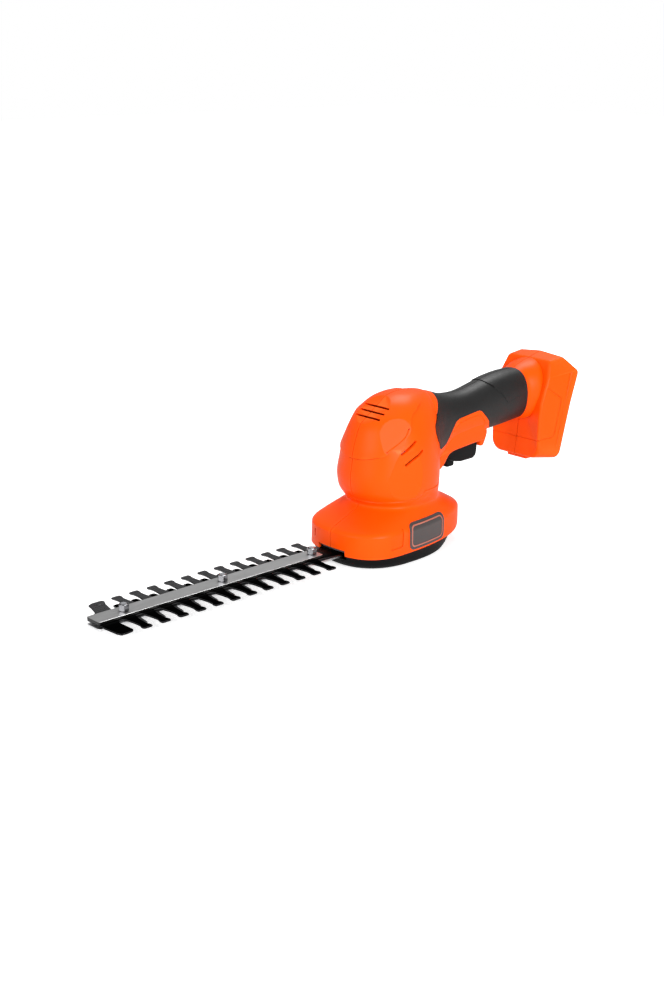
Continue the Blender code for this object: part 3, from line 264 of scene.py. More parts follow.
def carve(piece, tools, operation="DIFFERENCE"):
    """Cut, join or intersect with all the tools at once, and use the tools up."""
    group = bpy.data.collections.new("tools")
    for tool in tools:
        group.objects.link(tool)
    change = piece.modifiers.new("carve", "BOOLEAN")
    change.solver = "EXACT"
    change.operation = operation
    change.operand_type = "COLLECTION"
    change.collection = group
    piece = fixed(piece)
    for tool in tools:
        bpy.data.objects.remove(tool, do_unlink=True)
    bpy.data.collections.remove(group)
    return piece


def block(name, low, high):
    """A box between two corners in millimetres."""
    low = Vector(low) * MM
    high = Vector(high) * MM
    bm = bmesh.new()
    bmesh.ops.create_cube(bm, size=1.0)
    bmesh.ops.scale(bm, vec=high - low, verts=bm.verts)
    bmesh.ops.translate(bm, vec=(low + high) / 2, verts=bm.verts)
    return from_bmesh(name, bm)


def rod(name, start, end, radius, sides=28):
    """A round bar between two points in millimetres."""
    start = Vector(start) * MM
    end = Vector(end) * MM
    bm = bmesh.new()
    radius *= MM
    bmesh.ops.create_cone(
        bm, cap_ends=True, segments=sides, radius1=radius, radius2=radius, depth=(end - start).length
    )
    turn = Vector((0, 0, 1)).rotation_difference(end - start).to_matrix().to_4x4()
    bmesh.ops.transform(bm, matrix=Matrix.Translation((start + end) / 2) @ turn, verts=bm.verts)
    return from_bmesh(name, bm)


def eased(outline, reach, steps=4):
    """A closed outline with each corner rounded off, by no more than its sides allow."""
    result = []
    for i, point in enumerate(outline):
        here = Vector(point)
        before = Vector(outline[i - 1]) - here
        after = Vector(outline[(i + 1) % len(outline)]) - here
        start = here + before.normalized() * min(reach, 0.45 * before.length)
        end = here + after.normalized() * min(reach, 0.45 * after.length)
        for k in range(steps + 1):
            t = k / steps
            result.append(tuple(start * (1 - t) ** 2 + here * 2 * t * (1 - t) + end * t * t))
    return result


def shrunk(outline, distance):
    """Each corner of a closed outline moved inward along its bisector."""
    area = sum(x0 * y1 - x1 * y0 for (x0, y0), (x1, y1) in zip(outline, outline[1:] + outline[:1]))
    turn = 1 if area > 0 else -1
    result = []
    for i, point in enumerate(outline):
        here = Vector(point)
        before = (here - Vector(outline[i - 1])).normalized()
        after = (Vector(outline[(i + 1) % len(outline)]) - here).normalized()
        inward = Vector((-before.y - after.y, before.x + after.x)).normalized() * turn
        scale = max(0.5, inward.dot(Vector((-before.y, before.x)) * turn))
        result.append(tuple(here + inward * distance / scale))
    return result


def prism(name, outline, low, high):
    """A solid along Y over an outline of (X, Z) points in millimetres."""
    bm = bmesh.new()
    near = [bm.verts.new((x * MM, low * MM, z * MM)) for x, z in outline]
    far = [bm.verts.new((x * MM, high * MM, z * MM)) for x, z in outline]
    for i in range(len(near)):
        j = (i + 1) % len(near)
        bm.faces.new((near[i], near[j], far[j], far[i]))
    bm.faces.new(near)
    bm.faces.new(far[::-1])
    return from_bmesh(name, bm)


def pillow(name, outline, reach, half, edge, steps=5):
    """A solid along Y with eased corners, whose two rims are rounded over by edge."""
    rings = []
    for k in range(steps + 1):
        angle = math.pi / 2 * k / steps
        ring = eased(shrunk(outline, edge * (1 - math.sin(angle))), reach)
        y = -half + edge * (1 - math.cos(angle))
        rings.append([(x * MM, y * MM, z * MM) for x, z in ring])
    rings += [[(x, -y, z) for x, y, z in ring] for ring in reversed(rings)]
    bm, rows = walls(rings)
    bm.faces.new(rows[0])
    bm.faces.new(rows[-1][::-1])
    return from_bmesh(name, bm)


def plan_ring(station, inset=0.0, height=None, sides=BODY_SIDES):
    """A level ring of the body, rounder or squarer in front and behind as its station says."""
    level, front, rear, half, widest, square_front, square_rear = station
    ring = []
    for i in range(sides):
        angle = 2 * math.pi * i / sides
        ahead = math.cos(angle) >= 0
        reach = (front - widest if ahead else widest - rear) * MM - inset
        square = 2 / (square_front if ahead else square_rear)
        x = widest * MM + reach * signed_power(math.cos(angle), square)
        y = (half * MM - inset) * signed_power(math.sin(angle), square)
        ring.append((x, y, level * MM if height is None else height))
    return ring


def body_solid(name, inset=0.0, floor=None, steps=4, sides=BODY_SIDES):
    """The head and base, shrunk by inset, with the crown brought down by as much."""
    stations = [row for row in smooth(BODY_STATIONS, steps) if row[3] * MM - inset > 2 * MM]
    top = BODY_STATIONS[-1][0]
    rings = [] if floor is None else [plan_ring(stations[0], inset, floor * MM, sides)]
    for row in stations:
        shrink = inset * max(0.0, 2 * row[0] / top - 1) ** 2
        rings.append(plan_ring(row, inset, row[0] * MM - shrink, sides))
    return skin(name, rings)


def handle_ring(station, inset=0.0, x=None):
    """An upright ring of the handle, a little squarer than an ellipse."""
    place, top, underside, half = station
    ring = []
    for i in range(HANDLE_SIDES):
        angle = 2 * math.pi * i / HANDLE_SIDES
        y = (half * MM - inset) * signed_power(math.cos(angle), 2 / 2.3)
        z = (top + underside) / 2 * MM
        z += ((top - underside) / 2 * MM - inset) * signed_power(math.sin(angle), 2 / 2.3)
        ring.append(((place if x is None else x) * MM, y, z))
    return ring


def handle_solid(name, inset=0.0, first=None, last=None, steps=5):
    """The handle, shrunk by inset, its end rings moved along X to first and last."""
    stations = smooth(HANDLE_STATIONS, steps)
    rings = [handle_ring(row, inset) for row in stations]
    if first is not None:
        rings[0] = handle_ring(stations[0], inset, first)
    if last is not None:
        rings[-1] = handle_ring(stations[-1], inset, last)
    return skin(name, rings)


def lean(table, height):
    """The place along X that a table of heights gives for this one."""
    for (z0, x0), (z1, x1) in zip(table, table[1:]):
        if height <= z1:
            return x0 + (x1 - x0) * (height - z0) / (z1 - z0)
    return table[-1][1]


def foot_ring(corners, profile, crown, inset=0.0, shift=0.0):
    """An outline across the foot, set along X as its lean says."""
    right = [(y - inset / MM, z + (inset if z < 60 else -inset) / MM, r) for y, z, r in corners]
    (y0, z0, r0), (y1, z1, r1) = right[:2]
    right[1:1] = [(y0 + (y1 - y0) * (z - z0) / (z1 - z0), z, 0) for z in FOOT_BREAKS]
    left = [(-y, z, r) for y, z, r in reversed(right)]
    corners = [(0, right[0][1] - 0.3, 0), *right, (0, right[-1][1] + crown + 0.3, 0), *left]
    ring = []
    for i, (y, z, radius) in enumerate(corners):
        here = Vector((y, z))
        if radius == 0:
            ring.append(here)
            continue
        before = (Vector(corners[i - 1][:2]) - here).normalized()
        after = (Vector(corners[(i + 1) % len(corners)][:2]) - here).normalized()
        half = math.acos(max(-1.0, min(1.0, before.dot(after)))) / 2
        centre = here + (before + after).normalized() * (radius / math.sin(half))
        start = here + before * (radius / math.tan(half)) - centre
        sweep = start.angle_signed(here + after * (radius / math.tan(half)) - centre)
        ring += [centre + Matrix.Rotation(-sweep * k / 7, 2) @ start for k in range(8)]
    return [(lean(profile, z) * MM + shift, y * MM, z * MM) for y, z in ring]


def side_skin(name, zone, side_solid):
    """The part of a solid that lies within a side outline."""
    return carve(prism(name, zone, -60, 60), [side_solid], "INTERSECT")


def tube(name, path, radius, sides=8, closed=False):
    """A round bar along a path of points, capped at both ends unless it is closed."""
    curve = bpy.data.curves.new(name, "CURVE")
    curve.dimensions = "3D"
    curve.bevel_depth = radius
    curve.bevel_resolution = sides // 4
    curve.use_fill_caps = not closed
    spline = curve.splines.new("POLY")
    spline.points.add(len(path) - 1)
    for point, place in zip(spline.points, path):
        point.co = (*place, 1.0)
    spline.use_cyclic_u = closed
    return fixed(add_object(name, curve))


def scribed(name, surface, path, radius, lift=0.1 * MM):
    """A cutter for a fine line along a path laid on the surface, a little above it."""
    points = []
    for place in smooth(path, 4):
        found, spot, normal, face = surface.closest_point_on_mesh(Vector(place) * MM)
        points.append(spot + normal * lift)
    return tube(name, points, radius)


outer = body_solid("housing")
core = handle_solid("handle_core", GRIP_THICKNESS, first=-29)
guard_skin = side_skin("guard_skin", TRIGGER_ZONE, handle_solid("guard_outer"))
neck_skin = side_skin("neck_skin", FRONT_ZONE, handle_solid("neck_outer"))
collar_rows = [*COLLAR_NECK, *smooth(COLLAR_STATIONS, 4)]
collar = skin("collar", [handle_ring(row) for row in collar_rows])
foot_rings = []
for k in range(5):
    angle = math.pi / 8 * k
    inset = FOOT_EDGE * (1 - math.sin(angle))
    shift = FOOT_EDGE * (1 - math.cos(angle))
    foot_rings.append(foot_ring(FOOT_FRONT_CORNERS, FOOT_FRONT_LEAN, 0, inset, 0.7 * FOOT_EDGE - shift))
foot_rings.append(foot_ring(FOOT_REAR_CORNERS, FOOT_REAR_LEAN, FOOT_CROWN))
foot = skin("foot", foot_rings)
tab = pillow("foot_tab", ((-176, 47.8), (-166, 47.8), (-166, 54), (-176, 54)), 1.5, 11, 1.0)
guard_block = pillow("guard_block", GUARD_BLOCK, 2.0, 15.5, 1.8)
hump = pillow("trigger_hump", TRIGGER_HUMP, 1.5, 12, 1.2)
visor = side_skin("visor", eased(VISOR, 1.6), body_solid("visor_outer", -VISOR_RISE))


def flat_cut(name, solid, turn, rise, depth):
    """A block whose near face lies depth below the solid's outermost point in one direction."""
    across = Vector((math.cos(turn) * math.cos(rise), math.sin(turn) * math.cos(rise), math.sin(rise)))
    reach = max(across.dot(v.co) for v in solid.data.vertices if v.co.z > FLATS_FROM)
    near = [v.co for v in solid.data.vertices if v.co.z > FLATS_FROM and across.dot(v.co) > reach - depth]
    middle = sum(near, Vector()) / len(near)
    middle += across * (reach - depth - across.dot(middle))
    cutter = block(name, (-26, -22, 0), (26, 22, 12))
    cutter.data.transform(Matrix.Translation(middle) @ across.to_track_quat("Z", "Y").to_matrix().to_4x4())
    return cutter


room_cuts = []
lip_cuts = []
for table, addition in ((CHEEK_FLATS, None), (VISOR_FLATS, visor)):
    if addition:
        outer = carve(outer, [addition], "UNION")
    cuts = []
    for turn, rise, depth in table:
        for side in ((1,) if turn == 0 else (1, -1)):
            angles = (math.radians(turn * side), math.radians(rise))
            cuts.append(flat_cut(f"flat_{turn * side}", outer, *angles, depth * MM))
            room_cuts.append(flat_cut(f"room_flat_{turn * side}", outer, *angles, depth * MM + WALL))
            lip_cuts.append(flat_cut(f"lip_flat_{turn * side}", outer, *angles, depth * MM + LIP_DEPTH))
    for cut in cuts:
        outer = carve(outer, [cut])
for addition in (core, guard_skin, neck_skin, collar, guard_block, hump, foot, tab):
    outer = carve(outer, [addition], "UNION")

body_room = body_solid("body_room", WALL, floor=9, steps=2, sides=64)
for cut in room_cuts:
    body_room = carve(body_room, [cut])
rooms = [body_room]
rooms.append(handle_solid("handle_room", GRIP_THICKNESS + WALL, last=-160, steps=1))
pocket_rings = [
    foot_ring(FOOT_FRONT_CORNERS, FOOT_FRONT_LEAN, 0, 1.0 * MM, -5 * MM),
    foot_ring(FOOT_REAR_CORNERS, FOOT_REAR_LEAN, FOOT_CROWN, 2.6 * MM, -6 * MM),
]
rooms.append(skin("battery_pocket", pocket_rings))
rooms.append(block("pocket_mouth", (-230, -26, 40), (-178, 26, 60)))
outer = carve(outer, rooms)

ribs = [block("terminal_seat", (-175.1, -13, 84), (-167, 13, 108))]
ribs.append(prism("rail_left", BATTERY_RAIL, 28, 35))
ribs.append(prism("rail_right", BATTERY_RAIL, -35, -28))
vent_wall = block("vent_wall", (5.5, -1.5, 76), (44, 1.5, 104))
ribs.append(carve(vent_wall, [body_solid("wall_end", 1.2 * MM)], "INTERSECT"))
under_skin = body_solid("under_skin", LIP_DEPTH, steps=2, sides=64)
for cut in lip_cuts:
    under_skin = carve(under_skin, [cut])
rear_floor = block("rear_floor", (-79, -30, 10.6), (-57, 30, 13))
motor_rib = block("motor_rib", (-52, -44, 92.5), (40, 44, 95.5))
for rib in (rear_floor, motor_rib):
    ribs.append(carve(rib, [add_object("skin_copy", under_skin.data.copy())], "INTERSECT"))
motor_seat = rod("motor_seat", (MOTOR_X, 0, 90), (MOTOR_X, 0, 99), MOTOR_SEAT_RADIUS)
ribs[-1] = carve(ribs[-1], [motor_seat])
for number, (x, z, reach) in enumerate(SCREW_PLACES):
    ribs.append(rod(f"boss_{number}", (x, -reach, z), (x, reach, z), 4))
outer = carve(outer, ribs, "UNION")

panel_skins = []
for side in (-1, 1):
    ends = sorted((side * 28, side * 60))
    panel = prism(f"panel_{side}", eased(SIDE_PANEL, 1.0), *ends)
    panel_skins.append(carve(panel, [body_solid("panel_floor", PANEL_DEPTH, steps=3)]))
slots = [
    block("trigger_slot", (-103.3, -9.8, 60), (-63.4, 9.8, 94)),
    block("blade_slot", (40, -15.5, 0), (70, 15.5, 15.3)),
    block("latch_slot", (-74.5, -4.5, 5), (-64, 4.5, 20)),
    rod("wire_way", (-150, 0, 96), (-180, 0, 96), 5),
    block("front_mark", (56.3, -22.2, 18.8), (64, -20.8, 25.2)),
]
for number, (x, z) in enumerate(TOP_VENTS):
    outline = eased(((-13.5, -0.9), (14.5, -0.9), (14.5, 0.9), (-13.5, 0.9)), 0.85)
    vent = prism(f"top_vent_{number}", outline, -7, 7)
    turn = Matrix.Rotation(TOP_VENT_TURN, 4, "Y") @ Matrix.Rotation(math.radians(90), 4, "Z")
    vent.data.transform(Matrix.Translation((x * MM, 0, z * MM)) @ turn)
    slots.append(vent)
for side in (-1, 1):
    for number, (x, z, half) in enumerate(SIDE_VENTS):
        outline = eased(((-half, -1.1), (half, -1.1), (half, 1.1), (-half, 1.1)), 1.0)
        vent = prism(f"side_vent_{side}_{number}", outline, -9, 9)
        turn = Matrix.Rotation(SIDE_VENT_TURN, 4, "Y")
        vent.data.transform(Matrix.Translation((x * MM, side * 37 * MM, z * MM)) @ turn)
        slots.append(vent)
for number, (x, z, reach) in enumerate(SCREW_PLACES):
    slots.append(rod(f"shank_way_{number}", (x, -10, z), (x, 9, z), 1.8, 20))
    slots.append(rod(f"head_way_{number}", (x, -60, z), (x, SCREW_HEAD_Y, z), 3.1))
for side in (-1, 1):
    line = [(x, side * y, z) for x, y, z in FOOT_LINE]
    slots.append(scribed(f"foot_line_{side}", outer, line, 0.55 * MM))
    line = [(x, side * 17.2, z) for x, z in GUARD_LINE]
    slots.append(scribed(f"guard_line_{side}", outer, line, 0.4 * MM))
    for tag, path, radius in (("visor", VISOR_LINE, 0.55), ("neck", NECK_LINE, 0.8)):
        line = [(x, side * y, z) for x, y, z in path]
        slots.append(scribed(f"{tag}_line_{side}", outer, line, radius * MM, 0.15 * MM))
outer = carve(outer, slots + panel_skins)

# The right half carries a lip that closes the joint a little under its surface
lip = under_skin
lip_rings = [
    foot_ring(FOOT_FRONT_CORNERS, FOOT_FRONT_LEAN, 0, FOOT_LIP_DEPTH, -FOOT_LIP_DEPTH),
    foot_ring(FOOT_REAR_CORNERS, FOOT_REAR_LEAN, FOOT_CROWN, FOOT_LIP_DEPTH),
]
for addition in (
    handle_solid("lip_handle", GRIP_THICKNESS + LIP_DEPTH, first=-29, steps=2),
    skin("lip_collar", [handle_ring(row, LIP_DEPTH) for row in collar_rows[::2]]),
    skin("lip_foot", lip_rings),
):
    lip = carve(lip, [addition], "UNION")
seam = SEAM / MM
lip_side = block("lip_side", (-260, -2, -10), (120, (SEAM - LIP_GAP) / MM, 160))
lip = carve(lip, [lip_side], "INTERSECT")
right_cut = carve(block("right_cut", (-260, -seam, -10), (120, 60, 160)), [lip])
left_cut = block("left_cut", (-260, -60, -10), (120, seam, 160))
halves = {}
for name, cut in (("left", left_cut), ("right", right_cut)):
    halves[name] = carve(add_object(f"shell_{name}", outer.data.copy()), [cut])
bpy.data.objects.remove(outer, do_unlink=True)


def add_node(tree, kind, **values):
    """A shader node with the values of its sockets or of itself."""
    node = tree.nodes.new(kind)
    for key, value in values.items():
        if hasattr(node, key):
            setattr(node, key, value)
        else:
            node.inputs[key.replace("_", " ")].default_value = value
    return node


def join(tree, *links):
    """Lead outputs into inputs, each link given as node, output, node and input."""
    for source, output, target, socket in links:
        tree.links.new(source.outputs[output], target.inputs[socket])


def new_group(name, inputs, outputs):
    """A shader node group with its named sockets, and its two ends."""
    tree = bpy.data.node_groups.new(name, "ShaderNodeTree")
    for label, kind, value in inputs:
        socket = tree.interface.new_socket(label, in_out="INPUT", socket_type=kind)
        socket.default_value = value
    for label, kind in outputs:
        tree.interface.new_socket(label, in_out="OUTPUT", socket_type=kind)
    return tree, tree.nodes.new("NodeGroupInput"), tree.nodes.new("NodeGroupOutput")


# Sockets of a Mix node that are in use for colours
MIX_FACTOR, MIX_A, MIX_B, MIX_RESULT = 0, 6, 7, 2

# Spark-eroded moulding skin, shared by every plastic and rubber piece
moulded_skin, start, end = new_group(
    "moulded_skin",
    (
        ("Colour", "NodeSocketColor", (0.5, 0.5, 0.5, 1.0)),
        ("Roughness", "NodeSocketFloat", 0.45),
        ("Grain", "NodeSocketFloat", 2600.0),
        ("Unevenness", "NodeSocketFloat", 0.12),
        ("Smudges", "NodeSocketFloat", 0.12),
    ),
    (("Colour", "NodeSocketColor"), ("Roughness", "NodeSocketFloat"), ("Height", "NodeSocketFloat")),
)
place = add_node(moulded_skin, "ShaderNodeTexCoord")
fine = add_node(moulded_skin, "ShaderNodeTexNoise", Detail=2.0, Roughness=0.6)
flow = add_node(moulded_skin, "ShaderNodeTexNoise", Scale=38.0, Detail=3.0, Roughness=0.55)
smudge = add_node(moulded_skin, "ShaderNodeTexNoise", Scale=170.0, Detail=5.0, Roughness=0.65)
darker = add_node(moulded_skin, "ShaderNodeMix", data_type="RGBA", blend_type="MULTIPLY")
darker.inputs[MIX_B].default_value = (0.55, 0.50, 0.48, 1.0)
weight = add_node(moulded_skin, "ShaderNodeMath", operation="MULTIPLY")
centred = add_node(moulded_skin, "ShaderNodeMath", operation="SUBTRACT")
centred.inputs[1].default_value = 0.5
spread = add_node(moulded_skin, "ShaderNodeMath", operation="MULTIPLY")
total = add_node(moulded_skin, "ShaderNodeMath", operation="ADD", use_clamp=True)
join(
    moulded_skin,
    *((place, "Object", texture, "Vector") for texture in (fine, flow, smudge)),
    (start, "Grain", fine, "Scale"), (flow, "Fac", weight, 0), (start, "Unevenness", weight, 1),
    (weight, 0, darker, MIX_FACTOR), (start, "Colour", darker, MIX_A), (smudge, "Fac", centred, 0),
    (centred, 0, spread, 0), (start, "Smudges", spread, 1), (spread, 0, total, 0),
    (start, "Roughness", total, 1), (darker, MIX_RESULT, end, "Colour"), (total, 0, end, "Roughness"),
    (fine, "Fac", end, "Height"),
)

# Rubbed edges: a mask that is strong on outside corners and broken up along them
rubbed_edge, start, end = new_group(
    "rubbed_edge",
    (("From", "NodeSocketFloat", 0.53), ("To", "NodeSocketFloat", 0.62)),
    (("Mask", "NodeSocketFloat"),),
)
shape = add_node(rubbed_edge, "ShaderNodeNewGeometry")
place = add_node(rubbed_edge, "ShaderNodeTexCoord")
scuff = add_node(rubbed_edge, "ShaderNodeTexNoise", Scale=420.0, Detail=4.0, Roughness=0.7)
reach = add_node(rubbed_edge, "ShaderNodeMapRange")
broken = add_node(rubbed_edge, "ShaderNodeMath", operation="MULTIPLY", use_clamp=True)
join(
    rubbed_edge,
    (place, "Object", scuff, "Vector"), (shape, "Pointiness", reach, "Value"),
    (start, "From", reach, "From Min"), (start, "To", reach, "From Max"), (reach, "Result", broken, 0),
    (scuff, "Fac", broken, 1), (broken, 0, end, "Mask"),
)

# Painted crease shade: an occlusion mask for the bottoms of grooves and seams, where little light gets, which
# darkens their colour as painted shade
CREASE_WIDTH = 1.2 * MM
# The tone that creases are multiplied by, as painted shade
CREASE_SHADE_TONE = (0.16, 0.08, 0.05)
painted_crease_shade, start, end = new_group(
    "painted_crease_shade",
    (("From", "NodeSocketFloat", 0.72), ("To", "NodeSocketFloat", 0.38)),
    (("Mask", "NodeSocketFloat"),),
)
shelter = add_node(
    painted_crease_shade, "ShaderNodeAmbientOcclusion", samples=12, only_local=True, Distance=CREASE_WIDTH
)
reach = add_node(painted_crease_shade, "ShaderNodeMapRange")
join(
    painted_crease_shade,
    (shelter, "AO", reach, "Value"), (start, "From", reach, "From Min"), (start, "To", reach, "From Max"),
    (reach, "Result", end, "Mask"),
)


def new_material(name):
    """A node material, its tree and its shader."""
    result = bpy.data.materials.new(name)
    result.use_nodes = True
    return result, result.node_tree, result.node_tree.nodes["Principled BSDF"]


def toned(tree, before, output, group, tone, blend="MIX"):
    """A mix of the colour before it and another tone, where the group's mask says."""
    where = add_node(tree, "ShaderNodeGroup", node_tree=group)
    mixed = add_node(tree, "ShaderNodeMix", data_type="RGBA", blend_type=blend)
    mixed.inputs[MIX_B].default_value = (*tone, 1.0)
    join(tree, (where, "Mask", mixed, MIX_FACTOR), (before, output, mixed, MIX_A))
    return mixed


def plastic(name, colour, roughness, grain, depth, rub, unevenness=0.12, smudges=0.12, shine=0.5):
    """A moulded material: eroded skin, uneven colour, painted shade in creases and edges rubbed to another
    tone.
    """
    result, tree, shader = new_material(name)
    shader.inputs["Specular IOR Level"].default_value = shine
    surface = add_node(
        tree, "ShaderNodeGroup", node_tree=moulded_skin, Colour=(*colour, 1.0), Roughness=roughness,
        Grain=grain, Unevenness=unevenness, Smudges=smudges,
    )
    worn = toned(tree, surface, "Colour", rubbed_edge, rub)
    # Creases and seams darkened in colour as painted shade
    crease_shaded = toned(tree, worn, MIX_RESULT, painted_crease_shade, CREASE_SHADE_TONE, "MULTIPLY")
    relief = add_node(tree, "ShaderNodeBump", Strength=0.35, Distance=depth)
    join(
        tree,
        (crease_shaded, MIX_RESULT, shader, "Base Color"), (surface, "Roughness", shader, "Roughness"),
        (surface, "Height", relief, "Height"), (relief, "Normal", shader, "Normal"),
    )
    return result


def finish_piece(piece, surface, body, slot, *nodes, angle=32):
    """Give a piece its material and smooth shading, and put it on its body."""
    piece.data.materials.clear()
    piece.data.materials.append(surface)
    piece.data.shade_smooth()
    piece.data.set_sharp_from_angle(angle=math.radians(angle))
    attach(piece, body)
    if nodes:
        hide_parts(*nodes)
    return piece


orange = plastic(
    "orange_moulding", (1.0, 0.080, 0.0004), 0.38, 2300.0, 0.00005, (1.0, 0.15, 0.02), 0.06, 0.10,
    shine=0.11,
)
for name, half in halves.items():
    finish_piece(half, orange, "housing", "orange_plastic", f"housing_{name}", angle=9)

# Grip: a soft, leathery rubber skin moulded over the handle's core in two halves. It has a raised
# palm pad with a scribed edge, a fine groove in front of its rear rim, and a tongue over the head.
PAD_ZONE = (
    (-112.4, 145), (-112.4, 126.6), (-115.8, 123.9), (-122.2, 117.1), (-129.4, 107.9), (-131.5, 107.2),
    (-139.8, 109.3), (-146.7, 111.3), (-153.8, 113.0), (-153.8, 145),
)
PAD_RISE = 0.6 * MM
RIM_X = -154.6
grip = handle_solid("grip", last=-160, steps=6)
grown = [shrunk(zone, -0.3) for zone in (TRIGGER_ZONE, FRONT_ZONE)]
rim_station = next(row for row in smooth(HANDLE_STATIONS, 20) if row[0] <= RIM_X)
rim_path = [(RIM_X * MM, y, z) for x, y, z in handle_ring(rim_station, -0.35 * MM)]
hollows = [
    handle_solid("grip_inside", GRIP_THICKNESS - 0.3 * MM, first=-20, last=-165),
    body_solid("grip_front", -0.3 * MM),
    prism("trigger_zone", eased(grown[0], 1.6), -40, 40),
    prism("front_zone", eased(grown[1], 1.6), -40, 40),
    block("grip_rear", (-190, -40, 60), (-157, 40, 160)),
]
for hollow in hollows:
    grip = carve(grip, [hollow])
pad = side_skin("palm_pad", eased(PAD_ZONE, 1.2), handle_solid("pad_outer", -PAD_RISE, last=-161, steps=6))
pad = carve(pad, [handle_solid("pad_inside", 0.8 * MM, first=-20, last=-165)])
boundary = [point for point in grown[1] if point[0] < -24]
reach_over = prism("reach_over", eased([*boundary, (-62, 134), (-62, 84)], 1.6), -45, 45)
reach_over = carve(reach_over, [body_solid("over", -0.55 * MM)], "INTERSECT")
reach_over = carve(reach_over, [body_solid("under", -0.06 * MM, steps=3)])
for addition in (pad, reach_over):
    grip = carve(grip, [addition], "UNION")
grip = carve(grip, [tube("rim_groove", rim_path, 0.6 * MM, closed=True)])
pad_lines = []
for side in (-1, 1):
    line = [(x, side * 18.5, z) for x, z in PAD_ZONE[2:-2]]
    pad_lines.append(scribed(f"pad_line_{side}", grip, line, 0.5 * MM, 0.1 * MM))
grip = carve(grip, pad_lines)
rubber = plastic(
    "grip_rubber_skin", (0.008, 0.008, 0.008), 0.46, 1000.0, 0.0006, (0.03, 0.03, 0.03), 0.35, 0.3,
    shine=0.36,
)
for name, low, high in (("left", seam, 60), ("right", -60, -seam)):
    half = add_object(f"grip_skin_{name}", grip.data.copy())
    half = carve(half, [block("side", (-260, low, -10), (120, high, 160))], "INTERSECT")
    finish_piece(half, rubber, "housing", "grip_rubber", f"grip_{name}")
bpy.data.objects.remove(grip, do_unlink=True)

# Badge plate: a dark grey plate let into the left of the base, with a raised border all round, a
# thin copper-toned line inside it and nothing else on it.
BADGE = ((-31.5, 12.2), (14, 12.2), (14, 34.8), (-31.5, 34.8))


def let_in(solid, front, back):
    """What of a solid lies between two skins that stand back and front proud of the base."""
    solid = carve(solid, [body_solid("front_skin", -front * MM)], "INTERSECT")
    return carve(solid, [body_solid("back_skin", -back * MM, steps=3)])


badge = let_in(prism("bare_badge", eased(BADGE, 6.0, 8), 20, 60), 0.72, 0.1)
field = prism("badge_field", eased(shrunk(BADGE, 1.7), 5.0, 8), 20, 60)
badge = carve(badge, [carve(field, [body_solid("field_floor", -0.4 * MM)])])
badge_grey = plastic("badge_grey", (0.052, 0.044, 0.043), 0.36, 3000.0, 0.00005, (0.10, 0.08, 0.08), 0.2, 0.1)
finish_piece(badge, badge_grey, "housing", "grey_plastic", "badge_plate")
frame_line = prism("badge_frame", eased(shrunk(BADGE, 2.1), 4.6, 8), 20, 60)
frame_line = carve(frame_line, [prism("frame_hole", eased(shrunk(BADGE, 3.1), 4.0, 8), 10, 70)])
frame_tone = plastic(
    "badge_frame_tone", (0.44, 0.13, 0.09), 0.34, 3000.0, 0.00004, (0.55, 0.2, 0.14), 0.15, 0.1
)
finish_piece(let_in(frame_line, 0.66, 0.3), frame_tone, "housing", "grey_plastic")

# Trigger and lock-off button: black nylon, slotted at the front for the slider that has to be
# pushed up before the trigger moves. Both slide up into the handle on a spring.
TRIGGER_SIDE = (
    (-102.9, 84), (-102.9, 70.5), (-102.6, 66.4), (-101.2, 63), (-98, 61.1), (-83.5, 60.9),
    (-76, 62.2), (-69.5, 64.6), (-65.8, 67.6), (-64.2, 71), (-63.8, 75), (-63.8, 87.5), (-90, 87.5),
    (-93, 84),
)
trigger = pillow("trigger_shell", TRIGGER_SIDE, 1.4, 9.5, 2.2)
serrations = [block("lock_way", (-79.8, -4.3, 55), (-70.2, 4.3, 81))]
for k in range(5):
    x = -98.5 + 3.2 * k
    serrations.append(rod(f"serration_{k}", (x, -12, 60.55), (x, 12, 60.55), 0.8, 16))
trigger = carve(trigger, serrations)
black = plastic(
    "black_moulding", (0.0035, 0.0035, 0.0038), 0.38, 2200.0, 0.0001, (0.02, 0.02, 0.02), 0.3, 0.2,
    shine=0.1,
)
finish_piece(trigger, black, "trigger", "black_plastic", "trigger")
button_side = ((-79.5, 57.2), (-70.5, 57.2), (-70.5, 71), (-79.5, 71))
button = pillow("lock_off_slider", button_side, 1.6, 4.0, 0.9)
ridges = [-78 + 1.5 * k for k in range(5)]
button = carve(button, [rod(f"ridge_{x}", (x, -6, 57.0), (x, 6, 57.0), 0.45, 12) for x in ridges])
finish_piece(button, black, "lock_off", "black_plastic", "lock_off_button")

# Sole: the black tray under the blade drive and its latch. It lifts off to change the blade, so it
# is a thin glass-filled moulding that only hooks under the housing.
SOLE_LEVELS = (
    (0.0, 53.0, -49.0, 39.5, 8, 2.4, 2.6),
    (0.9, 54.6, -51.5, 40.6, 10, 2.45, 2.6),
    (4.0, 57.0, -57.5, 42.0, 15, 2.5, 2.5),
    (10.2, 59.2, -64.0, 43.2, 20, 2.55, 2.4),
)
LATCH = ((-65.2, 18), (-69, 16), (-73, 12), (-75.2, 7), (-75.2, -7), (-73, -12), (-69, -16), (-65.2, -18))
sole_rows = [SOLE_LEVELS[0], *smooth(SOLE_LEVELS[1:], 4)]
sole = skin("sole_tray", [plan_ring(row) for row in sole_rows])
low, high = SOLE_LEVELS[1], SOLE_LEVELS[3]
room_rings = (plan_ring(low, WALL, 2.4 * MM), plan_ring(high, WALL), plan_ring(high, WALL, 12 * MM))
sole = carve(sole, [skin("sole_room", room_rings)])
ribs = []
for side in (-1, 1):
    inner = sorted((side * 13.2, side * 15.6))
    outer_rib = sorted((side * 18.2, side * 20.6))
    ribs.append(block(f"inner_rib_{side}", (-20, inner[0], 1.5), (36, inner[1], 9.0)))
    ribs.append(block(f"outer_rib_{side}", (-20, outer_rib[0], 1.5), (36, outer_rib[1], 10.5)))
sole = carve(sole, ribs, "UNION")
mouth = block("sole_mouth", (44, -15.5, 7.2), (70, 15.5, 12))
notch = block("latch_notch", (-70, -5.3, 6.6), (-52, 5.3, 12))
sole = carve(sole, [mouth, notch])
